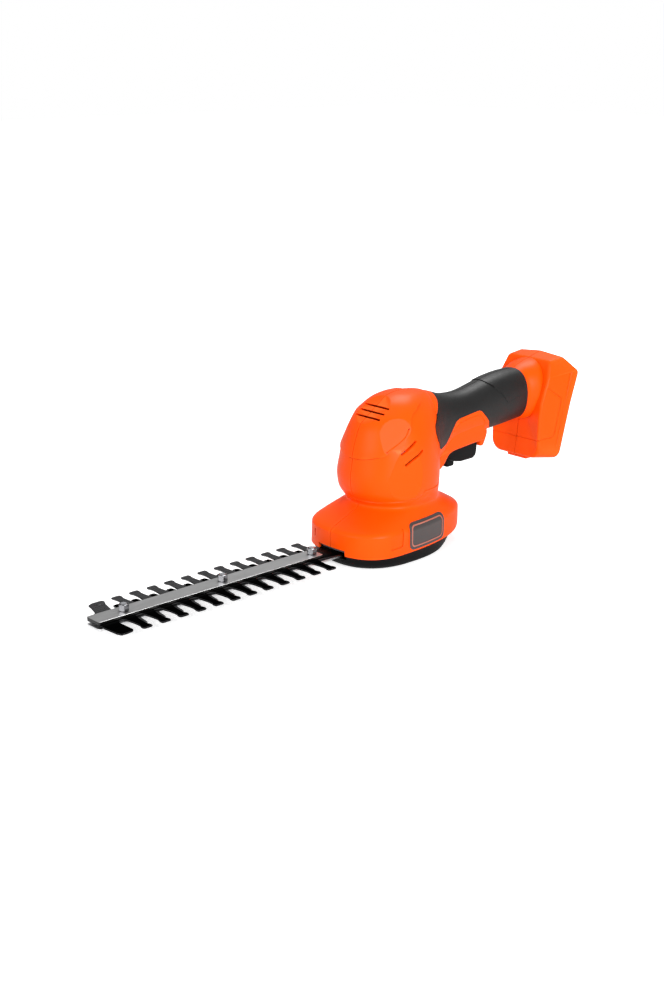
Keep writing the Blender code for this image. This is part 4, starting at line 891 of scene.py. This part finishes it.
finish_piece(sole, black, "housing", "black_plastic", "sole_cover")


def flat_plate(name, outlines, low, high, edge, resolution=0):
    """A flat plate between two heights with chamfered rims; outlines after the first are holes."""
    curve = bpy.data.curves.new(name, "CURVE")
    curve.dimensions = "2D"
    curve.fill_mode = "BOTH"
    curve.bevel_depth = edge
    curve.bevel_resolution = resolution
    curve.offset = -edge
    curve.extrude = (high - low) / 2 - edge
    for outline in outlines:
        spline = curve.splines.new("POLY")
        spline.points.add(len(outline) - 1)
        for point, (x, y) in zip(spline.points, outline):
            point.co = (x * MM, y * MM, 0.0, 1.0)
        spline.use_cyclic_u = True
    piece = add_object(name, curve)
    piece.location.z = (low + high) / 2
    return fixed(piece)


latch = flat_plate("sole_latch_slide", [eased(LATCH, 2.0)], 6.2 * MM, 10.2 * MM, 0.7 * MM, 2)
latch_parts = [
    block("latch_stem", (-70.5, -4, 9), (-64.4, 4, 14)),
    block("latch_flange", (-69.6, -7, 13.4), (-63.4, 7, 15)),
    block("latch_tongue", (-66, -4, 7.4), (-61.2, 4, 9.6)),
]
latch = carve(latch, latch_parts, "UNION")
finish_piece(latch, black, "latch", "black_plastic", "sole_latch")

# Blade: a fixed comb with long teeth over a moving comb with short ones, both stamped from spring
# steel, blackened and ground along the cutting edges. Two bars and three bolts hold them flat.
TOOTH_PITCH = 16
TEETH = 12
FIRST_LEFT_TOOTH = 263.1
FIRST_RIGHT_TOOTH = 247.2
LONG_TOOTH = ((5.4, 9), (4.5, 12.5), (3.5, 19), (3.2, 24), (3.4, 27), (4.4, 29.6), (3.8, 32.3), (1.6, 32.5))
SHORT_TOOTH = ((5.2, 9), (4.0, 13), (3.0, 20.2), (2.2, 22.0))
BOLT_HOLE = 2.8
SLOT_HALF = 8.1
LEFT_TIP = (
    (288, 8), (288, 15), (287, 28), (285.6, 31.7), (280.8, 31.9), (275.6, 31.2), (273.6, 28.9), (274, 13),
    (272, 9),
)
RIGHT_TIP = (
    (288, -8), (281, -11.6), (276, -15.4), (273.4, -24), (272.0, -30.6), (268, -32.4), (259.5, -32.5),
    (258, -30), (260.5, -25), (264.5, -9),
)


def tooth_row(first, count, half_widths, sign, forward):
    """The edge of a row of teeth on one side of the blade, from the tip back or from the rear on."""
    points = []
    for k in range(count):
        x = first - TOOTH_PITCH * k
        points += [(x + half, sign * y) for half, y in half_widths]
        points += [(x - half, sign * y) for half, y in reversed(half_widths)]
    return points if forward else points[::-1]


def ring_outline(x, y, radius, sides=40):
    """A circle, or with few sides a polygon, as an outline in plan."""
    turns = [2 * math.pi * i / sides for i in range(sides)]
    return [(x + radius * math.cos(turn), y + radius * math.sin(turn)) for turn in turns]


def slot_outline(x, half, radius, sides=12):
    """A slot along X with round ends, as an outline in plan."""
    points = []
    for sign in (1, -1):
        for i in range(sides + 1):
            angle = math.pi * i / sides - sign * math.pi / 2
            points.append((x + sign * (half - radius) + radius * math.cos(angle), radius * math.sin(angle)))
    return points


bolt_places = [sum(corner.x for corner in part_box(f"blade_bolt_{n}")) / 2 / MM for n in (1, 2, 3)]
comb_low, comb_high = (corner.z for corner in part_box("fixed_comb"))
left = tooth_row(FIRST_LEFT_TOOTH, TEETH, LONG_TOOTH, 1, True)
right = tooth_row(FIRST_RIGHT_TOOTH, TEETH, LONG_TOOTH, -1, False)
tail = (
    (62, 13), (42, 13), (38, 21), (-20, 21), (-24, 17), (-24, -17), (-20, -21), (38, -21), (42, -13),
    (60, -13),
)
outline = eased([*LEFT_TIP, *left, *tail, *right, *reversed(RIGHT_TIP)], 1.1, 3)
holes = [ring_outline(x, 0, BOLT_HOLE) for x in bolt_places]
holes.append([(x, y - 26.6) for x, y in slot_outline(266.4, 2.8, 1.0, 6)])
holes.append(ring_outline(0, 0, 12, 64))
fixed_comb = flat_plate("long_tooth_comb", [outline, *holes], comb_low, comb_high, 0.3 * MM)
moving_low, moving_high = (corner.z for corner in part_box("moving_comb"))
left = tooth_row(FIRST_LEFT_TOOTH - 4.4, TEETH - 1, SHORT_TOOTH, 1, True)
right = tooth_row(FIRST_RIGHT_TOOTH + 6.8, TEETH, SHORT_TOOTH, -1, False)
nose = ((282, -7), (283, -5), (283, 5), (282, 7))
tail = ((72, 9), (20, 9), (16, 16.5), (-14, 16.5), (-14, -16.5), (16, -16.5), (20, -9))
outline = eased([*nose, *left, *tail, *right], 0.9, 3)
holes = [slot_outline(x, SLOT_HALF, BOLT_HOLE) for x in bolt_places]
yoke = ((6.5, 12.5), (-6.5, 12.5), (-6.5, -12.5), (6.5, -12.5))
moving_comb = flat_plate("short_tooth_comb", [outline, *holes, yoke], moving_low, moving_high, 0.45 * MM)

# Worked metal: rolled or ground streaks along X, stain and roughness that varies
worked_metal, start, end = new_group(
    "worked_metal",
    (
        ("Colour", "NodeSocketColor", (0.5, 0.5, 0.5, 1.0)),
        ("Tarnish", "NodeSocketColor", (0.3, 0.3, 0.3, 1.0)),
        ("Roughness", "NodeSocketFloat", 0.35),
        ("Streaks", "NodeSocketFloat", 1400.0),
        ("Stain", "NodeSocketFloat", 0.35),
    ),
    (("Colour", "NodeSocketColor"), ("Roughness", "NodeSocketFloat"), ("Height", "NodeSocketFloat")),
)
place = add_node(worked_metal, "ShaderNodeTexCoord")
stretch = add_node(worked_metal, "ShaderNodeMapping", Scale=(0.04, 1.0, 1.0))
streak = add_node(worked_metal, "ShaderNodeTexNoise", Detail=3.0, Roughness=0.6)
cloud = add_node(worked_metal, "ShaderNodeTexNoise", Scale=70.0, Detail=5.0, Roughness=0.6)
stain = add_node(worked_metal, "ShaderNodeMath", operation="MULTIPLY")
tint = add_node(worked_metal, "ShaderNodeMix", data_type="RGBA")
centred = add_node(worked_metal, "ShaderNodeMath", operation="SUBTRACT")
centred.inputs[1].default_value = 0.5
spread = add_node(worked_metal, "ShaderNodeMath", operation="MULTIPLY")
spread.inputs[1].default_value = 0.3
total = add_node(worked_metal, "ShaderNodeMath", operation="ADD", use_clamp=True)
join(
    worked_metal,
    (place, "Object", stretch, "Vector"), (stretch, "Vector", streak, "Vector"),
    (start, "Streaks", streak, "Scale"), (place, "Object", cloud, "Vector"), (cloud, "Fac", stain, 0),
    (start, "Stain", stain, 1), (stain, 0, tint, MIX_FACTOR), (start, "Colour", tint, MIX_A),
    (start, "Tarnish", tint, MIX_B), (streak, "Fac", centred, 0), (centred, 0, spread, 0),
    (spread, 0, total, 0), (start, "Roughness", total, 1), (tint, MIX_RESULT, end, "Colour"),
    (total, 0, end, "Roughness"), (streak, "Fac", end, "Height"),
)

# Ground bevels: a mask of the faces that are neither level nor upright
ground_bevel, start, end = new_group("ground_bevel", (), (("Mask", "NodeSocketFloat"),))
shape = add_node(ground_bevel, "ShaderNodeNewGeometry")
split = add_node(ground_bevel, "ShaderNodeSeparateXYZ")
upward = add_node(ground_bevel, "ShaderNodeMath", operation="ABSOLUTE")
level = add_node(ground_bevel, "ShaderNodeMapRange", From_Min=0.97, From_Max=0.85)
upright = add_node(ground_bevel, "ShaderNodeMapRange", From_Min=0.25, From_Max=0.45)
both = add_node(ground_bevel, "ShaderNodeMath", operation="MULTIPLY", use_clamp=True)
join(
    ground_bevel,
    (shape, "True Normal", split, 0), (split, "Z", upward, 0), (upward, 0, level, "Value"),
    (upward, 0, upright, "Value"), (level, "Result", both, 0), (upright, "Result", both, 1),
    (both, 0, end, "Mask"),
)

# Painted reflection: a mask that rises towards the right side of the blade, where the combs are toned lighter
# or darker as painted reflection
thin_oxide, start, end = new_group("thin_oxide", (), (("Mask", "NodeSocketFloat"),))
place = add_node(thin_oxide, "ShaderNodeTexCoord")
split = add_node(thin_oxide, "ShaderNodeSeparateXYZ")
across = add_node(thin_oxide, "ShaderNodeMapRange", From_Min=0.012, From_Max=-0.016)
join(
    thin_oxide,
    (place, "Object", split, 0), (split, "Y", across, "Value"), (across, "Result", end, "Mask"),
)

# Painted side shade: a mask of the upright faces and of the bevels along them, whose colour is darkened as
# painted shade
sheared_edge, start, end = new_group("sheared_edge", (), (("Mask", "NodeSocketFloat"),))
shape = add_node(sheared_edge, "ShaderNodeNewGeometry")
split = add_node(sheared_edge, "ShaderNodeSeparateXYZ")
upward = add_node(sheared_edge, "ShaderNodeMath", operation="ABSOLUTE")
upright = add_node(sheared_edge, "ShaderNodeMapRange", From_Min=0.95, From_Max=0.75)
join(
    sheared_edge,
    (shape, "True Normal", split, 0), (split, "Z", upward, 0), (upward, 0, upright, "Value"),
    (upright, "Result", end, "Mask"),
)


MASKS = {"thin": thin_oxide, "ground": ground_bevel, "sheared": sheared_edge}


def metal(name, colour, tarnish, roughness, streaks=1400.0, stain=0.35, depth=0.00004, rim=1.0, **masked):
    """A metal with streaks and stain, rim as its tone at a glancing angle, and tones for its masks."""
    result, tree, shader = new_material(name)
    shader.inputs["Metallic"].default_value = 1.0
    shader.inputs["Specular Tint"].default_value = (rim, rim, rim, 1.0)
    surface = add_node(
        tree, "ShaderNodeGroup", node_tree=worked_metal, Colour=(*colour, 1.0), Tarnish=(*tarnish, 1.0),
        Roughness=roughness, Streaks=streaks, Stain=stain,
    )
    relief = add_node(tree, "ShaderNodeBump", Strength=0.3, Distance=depth)
    last, output = surface, "Colour"
    for label, tone in masked.items():
        last, output = toned(tree, last, output, MASKS[label], tone), MIX_RESULT
    join(
        tree,
        (last, output, shader, "Base Color"), (surface, "Roughness", shader, "Roughness"),
        (surface, "Height", relief, "Height"), (relief, "Normal", shader, "Normal"),
    )
    return result


# Blackened steel; the fixed comb's right side is lighter as painted reflection
blackened = metal(
    "blackened_steel", (0.012, 0.012, 0.013), (0.006, 0.006, 0.006), 0.28, rim=0.12,
    thin=(0.22, 0.22, 0.225), ground=(0.09, 0.09, 0.095),
)
finish_piece(fixed_comb, blackened, "housing", "blade_steel", "fixed_comb", angle=20)
# The same blackened steel, grey on the left and near black on the right as painted reflection; its ground
# bevels are lighter
moving_comb_painted_sheen = metal(
    "comb_steel_painted_sheen", (0.16, 0.16, 0.165), (0.10, 0.10, 0.10), 0.3, rim=0.12,
    thin=(0.010, 0.010, 0.011), ground=(0.30, 0.30, 0.31),
)
finish_piece(moving_comb, moving_comb_painted_sheen, "blade", "blade_steel", "moving_comb", angle=20)

# Bars: the guide bar on top of the combs and the bright support bar below them, both sheared from
# strip, with rounded corners, drilled for the three bolts.
bar_finishes = {
    # The guide bar's upright faces and bevels are darkened as painted shade
    "guide_bar": metal(
        "blasted_bar", (0.50, 0.50, 0.50), (0.36, 0.36, 0.36), 0.34, 900.0, 0.5, 0.00006,
        sheared=(0.05, 0.05, 0.05),
    ),
    "blade_support_bar": metal("polished_bar", (0.86, 0.86, 0.87), (0.62, 0.62, 0.64), 0.42, 1600.0, 0.3),
}
for node, slot in (("guide_bar", "bar_steel"), ("blade_support_bar", "bright_steel")):
    low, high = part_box(node)
    corners = [(high.x / MM, -8), (high.x / MM, 8), (low.x / MM, 8), (low.x / MM, -8)]
    holes = [ring_outline(x, 0, BOLT_HOLE) for x in bolt_places]
    bar = flat_plate(f"{node}_strip", [eased(corners, 2.0, 6), *holes], low.z, high.z, 0.22 * MM, 1)
    finish_piece(bar, bar_finishes[node], "housing", slot, node, angle=12)

# Blade bolts and nuts: zinc-plated carriage bolts put in from below, each with a bright hexagon nut
# on top that is chamfered at both ends.
BOLT_HEAD = ((0, 0), (2.4, 0), (3.6, 0.2), (4.2, 0.55), (4.5, 1.0), (4.5, 1.3), (2.5, 1.3))
THREAD_FROM = 13.0
THREAD_PITCH = 0.7
NUT_ACROSS = 7.0


def turned(name, profile, centre, sides=48):
    """A solid of revolution about an upright axis, from a closed (radius, height) profile."""
    bm = bmesh.new()
    rings = []
    for radius, height in profile:
        if radius < 0.0001:
            rings.append([bm.verts.new((centre[0] * MM, centre[1] * MM, height * MM))])
            continue
        ring = []
        for i in range(sides):
            angle = 2 * math.pi * i / sides
            spot = (centre[0] + radius * math.cos(angle), centre[1] + radius * math.sin(angle), height)
            ring.append(bm.verts.new(Vector(spot) * MM))
        rings.append(ring)
    pairs = list(zip(rings, rings[1:]))
    if len(rings[0]) > 1:
        pairs.append((rings[-1], rings[0]))
    for lower, upper in pairs:
        for i in range(sides):
            j = (i + 1) % sides
            corners = [lower[i % len(lower)], lower[j % len(lower)]]
            corners += [upper[j % len(upper)], upper[i % len(upper)]]
            face = list(dict.fromkeys(corners))
            if len(face) > 2:
                bm.faces.new(face)
    return from_bmesh(name, bm)


zinc = metal("zinc_plate", (0.55, 0.56, 0.58), (0.42, 0.43, 0.47), 0.34, 500.0, 0.5)
nickel = metal("bright_nut_plate", (0.22, 0.22, 0.23), (0.12, 0.12, 0.13), 0.16, 700.0, 0.4)
for number, x in enumerate(bolt_places, start=1):
    base, tip = (corner.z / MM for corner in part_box(f"blade_bolt_{number}"))
    profile = [(radius, base + rise) for radius, rise in BOLT_HEAD]
    height = THREAD_FROM
    while height < tip - 0.9:
        profile += [(2.5, height), (2.2, height + THREAD_PITCH / 2)]
        height += THREAD_PITCH
    profile += [(2.5, tip - 0.5), (2.0, tip), (0, tip)]
    bolt = turned(f"carriage_bolt_{number}", profile, (x, 0))
    finish_piece(bolt, zinc, "housing", "zinc_steel", f"blade_bolt_{number}")
    base, top = (corner.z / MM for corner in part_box(f"blade_nut_{number}"))
    half = NUT_ACROSS / 2
    rim = half / math.cos(math.pi / 6)
    nut = flat_plate(f"hexagon_nut_{number}", [ring_outline(x, 0, rim, 6)], base * MM, top * MM, 0.0)
    limit = [(0, base), (half, base), (rim + 0.1, base + 0.45), (rim + 0.1, top - 0.45), (half - 0.1, top)]
    nut = carve(nut, [turned("nut_limit", [*limit, (0, top)], (x, 0))], "INTERSECT")
    bore = [(0, base - 1), (3.2, base - 0.3), (2.75, base + 0.3), (2.75, top - 0.3), (3.2, top + 0.3)]
    nut = carve(nut, [turned("nut_bore", [*bore, (0, top + 1)], (x, 0))])
    finish_piece(nut, nickel, "housing", "bright_steel", f"blade_nut_{number}")

# Housing screws: pan heads with a six-lobed drive, deep in their bores on the right side, where a
# long driver reaches them.
PAN_HEAD = ((0, 0), (2.5, 0), (2.8, -0.4), (2.6, -1.3), (1.9, -1.85), (0, -2.0))
HEAD_PLAY = 0.3
thread = [(1.5, -0.5)]
for k in range(14):
    thread += [(1.5, 1.0 + 1.1 * k), (1.15, 1.55 + 1.1 * k)]
thread += [(0.4, 16.0), (0, 16.2)]
lobes = []
for i in range(24):
    radius = 1.35 - 0.22 * (1 - math.cos(math.pi / 2 * i))
    lobes.append((radius * math.cos(math.pi / 12 * i), radius * math.sin(math.pi / 12 * i)))
for number, (x, z, reach) in enumerate(SCREW_PLACES, start=1):
    screw = turned(f"pan_screw_{number}", thread, (0, 0), 24)
    screw = carve(screw, [turned("pan_head", PAN_HEAD, (0, 0), 40)], "UNION")
    screw = carve(screw, [flat_plate("drive", [lobes], -3 * MM, -1.0 * MM, 0.0)])
    seat = Matrix.Translation(Vector((x, SCREW_HEAD_Y - HEAD_PLAY, z)) * MM)
    screw.data.transform(seat @ Matrix.Rotation(math.radians(-90), 4, "X"))
    finish_piece(screw, nickel, "housing", "bright_steel", f"housing_screw_{number}")

# Battery contacts: three tinned brass blades in a black nylon block at the front of the foot's
# pocket, where the battery slides on to them.


def dress(surface, *nodes):
    """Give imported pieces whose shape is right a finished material."""
    for node in nodes:
        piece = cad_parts[node]
        for slot in piece.material_slots:
            slot.material = surface


contact_brass = metal("contact_brass", (0.72, 0.52, 0.22), (0.50, 0.34, 0.14), 0.26, 900.0, 0.4)
dress(contact_brass, "terminal_blade_1", "terminal_blade_2", "terminal_blade_3")
dress(black, "terminal_block", "switch_plunger")

# Gear train: sintered steel gears that run in grease between a glass-filled nylon plate and the
# gearbox cover, with bronze bushes and a hardened axle.
sinter = metal("sintered_gear", (0.30, 0.30, 0.31), (0.20, 0.19, 0.18), 0.42, 260.0, 0.6, 0.00008)
dress(sinter, "crank_gear", "idler_gear", "motor_pinion")
bush_bronze = metal("sintered_bronze", (0.50, 0.31, 0.13), (0.34, 0.20, 0.08), 0.4, 300.0, 0.5)
dress(bush_bronze, "crank_bush", "motor_bush")
dress(nickel, "idler_axle")
nylon = plastic(
    "glass_filled_nylon", (0.085, 0.085, 0.092), 0.55, 900.0, 0.00015, (0.16, 0.16, 0.17), 0.35, 0.2
)
dress(nylon, "gear_plate", "gearbox_cover", "motor_end_bell")

# Motor: a drawn and zinc-plated can with two ferrite magnets glued in around a five-pole armature
# wound with enamelled copper, closed by the nylon end bell.
dress(zinc, "motor_can")
windings = metal("enamelled_copper", (0.72, 0.30, 0.14), (0.45, 0.16, 0.07), 0.3, 2600.0, 0.5, 0.0001)
dress(windings, "motor_armature")
ferrite = plastic("ferrite", (0.045, 0.045, 0.048), 0.7, 700.0, 0.0002, (0.12, 0.12, 0.12), 0.4, 0.2)
dress(ferrite, "motor_magnet_left", "motor_magnet_right")

# Switch, springs and wires: a sealed grey switch over the trigger, music-wire springs, and
# stranded wires in red and black insulation.
switch_grey = plastic("switch_grey", (0.10, 0.10, 0.105), 0.45, 1800.0, 0.0001, (0.2, 0.2, 0.2), 0.2, 0.15)
dress(switch_grey, "switch_module")
COIL_STEPS = 24
# Body, joint that presses it, place along X, foot and top, coil and wire radius, turns and travel
SPRINGS = {
    "trigger_spring": ("housing", "trigger_press", -77, 87.8, 95.2, 3.6, 0.4, 3, 5),
    "lock_off_spring": ("trigger", "lock_off_press", -75, 71.3, 80.7, 2.6, 0.35, 4, 4),
}
for node, (body, joint, x, foot, top, radius, wire, turns, travel) in SPRINGS.items():
    path = []
    for i in range(COIL_STEPS * turns + 1):
        turn = 2 * math.pi * i / COIL_STEPS
        height = foot + wire + (top - foot - 2 * wire) * i / (COIL_STEPS * turns)
        path.append(Vector((x + radius * math.cos(turn), radius * math.sin(turn), height)) * MM)
    spring = tube(f"{node}_coil", path, wire * MM, 12)
    finish_piece(spring, nickel, body, "bright_steel", node, angle=40)
    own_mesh(spring)
for side, name, colour, rub in (
    ("left", "red_insulation", (0.45, 0.012, 0.010), (0.5, 0.05, 0.04)),
    ("right", "black_insulation", (0.014, 0.014, 0.014), (0.04, 0.04, 0.04)),
):
    sleeve = plastic(name, colour, 0.38, 1200.0, 0.00006, rub, 0.15, 0.1)
    dress(sleeve, f"battery_wire_{side}", f"motor_wire_{side}")

# Studio: a white floor that shows as plain white to the camera, large soft lamps and a camera at
# the height and angle of the photograph.
FLOOR_REACH = 6.0
FLOOR_LEVEL = -0.3 * MM
floor_mesh = bpy.data.meshes.new("floor")
corners = [(x * FLOOR_REACH, y * FLOOR_REACH, FLOOR_LEVEL) for x, y in ((-1, -1), (1, -1), (1, 1), (-1, 1))]
floor_mesh.from_pydata(corners, [], [(0, 1, 2, 3)])
floor = add_object("floor", floor_mesh)
floor_white, tree, shader = new_material("floor_white")
shader.inputs["Base Color"].default_value = (0.82, 0.82, 0.82, 1.0)
shader.inputs["Roughness"].default_value = 0.9
shader.inputs["Specular IOR Level"].default_value = 0.1
rays = add_node(tree, "ShaderNodeLightPath")
glow = add_node(tree, "ShaderNodeEmission")
floor_place = add_node(tree, "ShaderNodeTexCoord")
away = add_node(tree, "ShaderNodeVectorMath", operation="LENGTH")
brighter = add_node(
    tree, "ShaderNodeMapRange", interpolation_type="SMOOTHSTEP",
    From_Min=0.25, From_Max=1.2, To_Min=0.56, To_Max=1.0,
)
nothing = add_node(tree, "ShaderNodeEmission", Strength=0.0)
lit = add_node(tree, "ShaderNodeMixShader")
both = add_node(tree, "ShaderNodeAddShader")
join(
    tree,
    (floor_place, "Object", away, 0), (away, "Value", brighter, "Value"),
    (brighter, "Result", glow, "Strength"), (rays, "Is Camera Ray", lit, 0), (nothing, 0, lit, 1),
    (glow, 0, lit, 2), (shader, 0, both, 0), (lit, 0, both, 1),
    (both, 0, tree.nodes["Material Output"], "Surface"),
)
floor.data.materials.append(floor_white)

world = bpy.data.worlds.new("studio")
world.use_nodes = True
bpy.context.scene.world = world
tree = world.node_tree
sky = tree.nodes["Background"]
sky.inputs["Color"].default_value = (1.0, 1.0, 1.0, 1.0)
sky.inputs["Strength"].default_value = 0.4
white = add_node(tree, "ShaderNodeBackground", Color=(1.0, 1.0, 1.0, 1.0))
rays = add_node(tree, "ShaderNodeLightPath")
seen = add_node(tree, "ShaderNodeMath", operation="MAXIMUM")
choice = add_node(tree, "ShaderNodeMixShader")
join(
    tree,
    (rays, "Is Camera Ray", seen, 0), (rays, "Is Transmission Ray", seen, 1), (seen, 0, choice, 0),
    (sky, 0, choice, 1), (white, 0, choice, 2), (choice, 0, tree.nodes["World Output"], "Surface"),
)

target = Vector((0.02, 0.0, 0.07))
for name, place, size, power in (
    ("key_softbox", (0.7, 2.1, 0.85), 1.0, 52.0),
    ("top_softbox", (-0.9, -0.6, 1.9), 0.9, 28.0),
    ("front_softbox", (2.0, 0.1, 0.9), 0.9, 16.0),
):
    lamp = bpy.data.lights.new(name, "AREA")
    lamp.shape = "SQUARE"
    lamp.size = size
    lamp.energy = power
    stand = add_object(name, lamp)
    stand.location = place
    stand.rotation_euler = (target - Vector(place)).to_track_quat("-Z", "Y").to_euler()

CAMERA_PLACE = Vector((820.75, 832.67, 407.87)) * MM
CAMERA_YAW = 0.8296
CAMERA_PITCH = 0.3034
CAMERA_LENS = 53.25
camera = add_object("camera", bpy.data.cameras.new("camera"))
camera.data.lens = CAMERA_LENS
camera.data.sensor_width = 36.0
camera.data.clip_end = 50.0
camera.location = CAMERA_PLACE
level_view = -math.cos(CAMERA_PITCH)
view = Vector(
    (level_view * math.cos(CAMERA_YAW), level_view * math.sin(CAMERA_YAW), -math.sin(CAMERA_PITCH))
)
camera.rotation_euler = view.to_track_quat("-Z", "Y").to_euler()
bpy.context.scene.camera = camera
bpy.context.scene.view_settings.view_transform = "Standard"
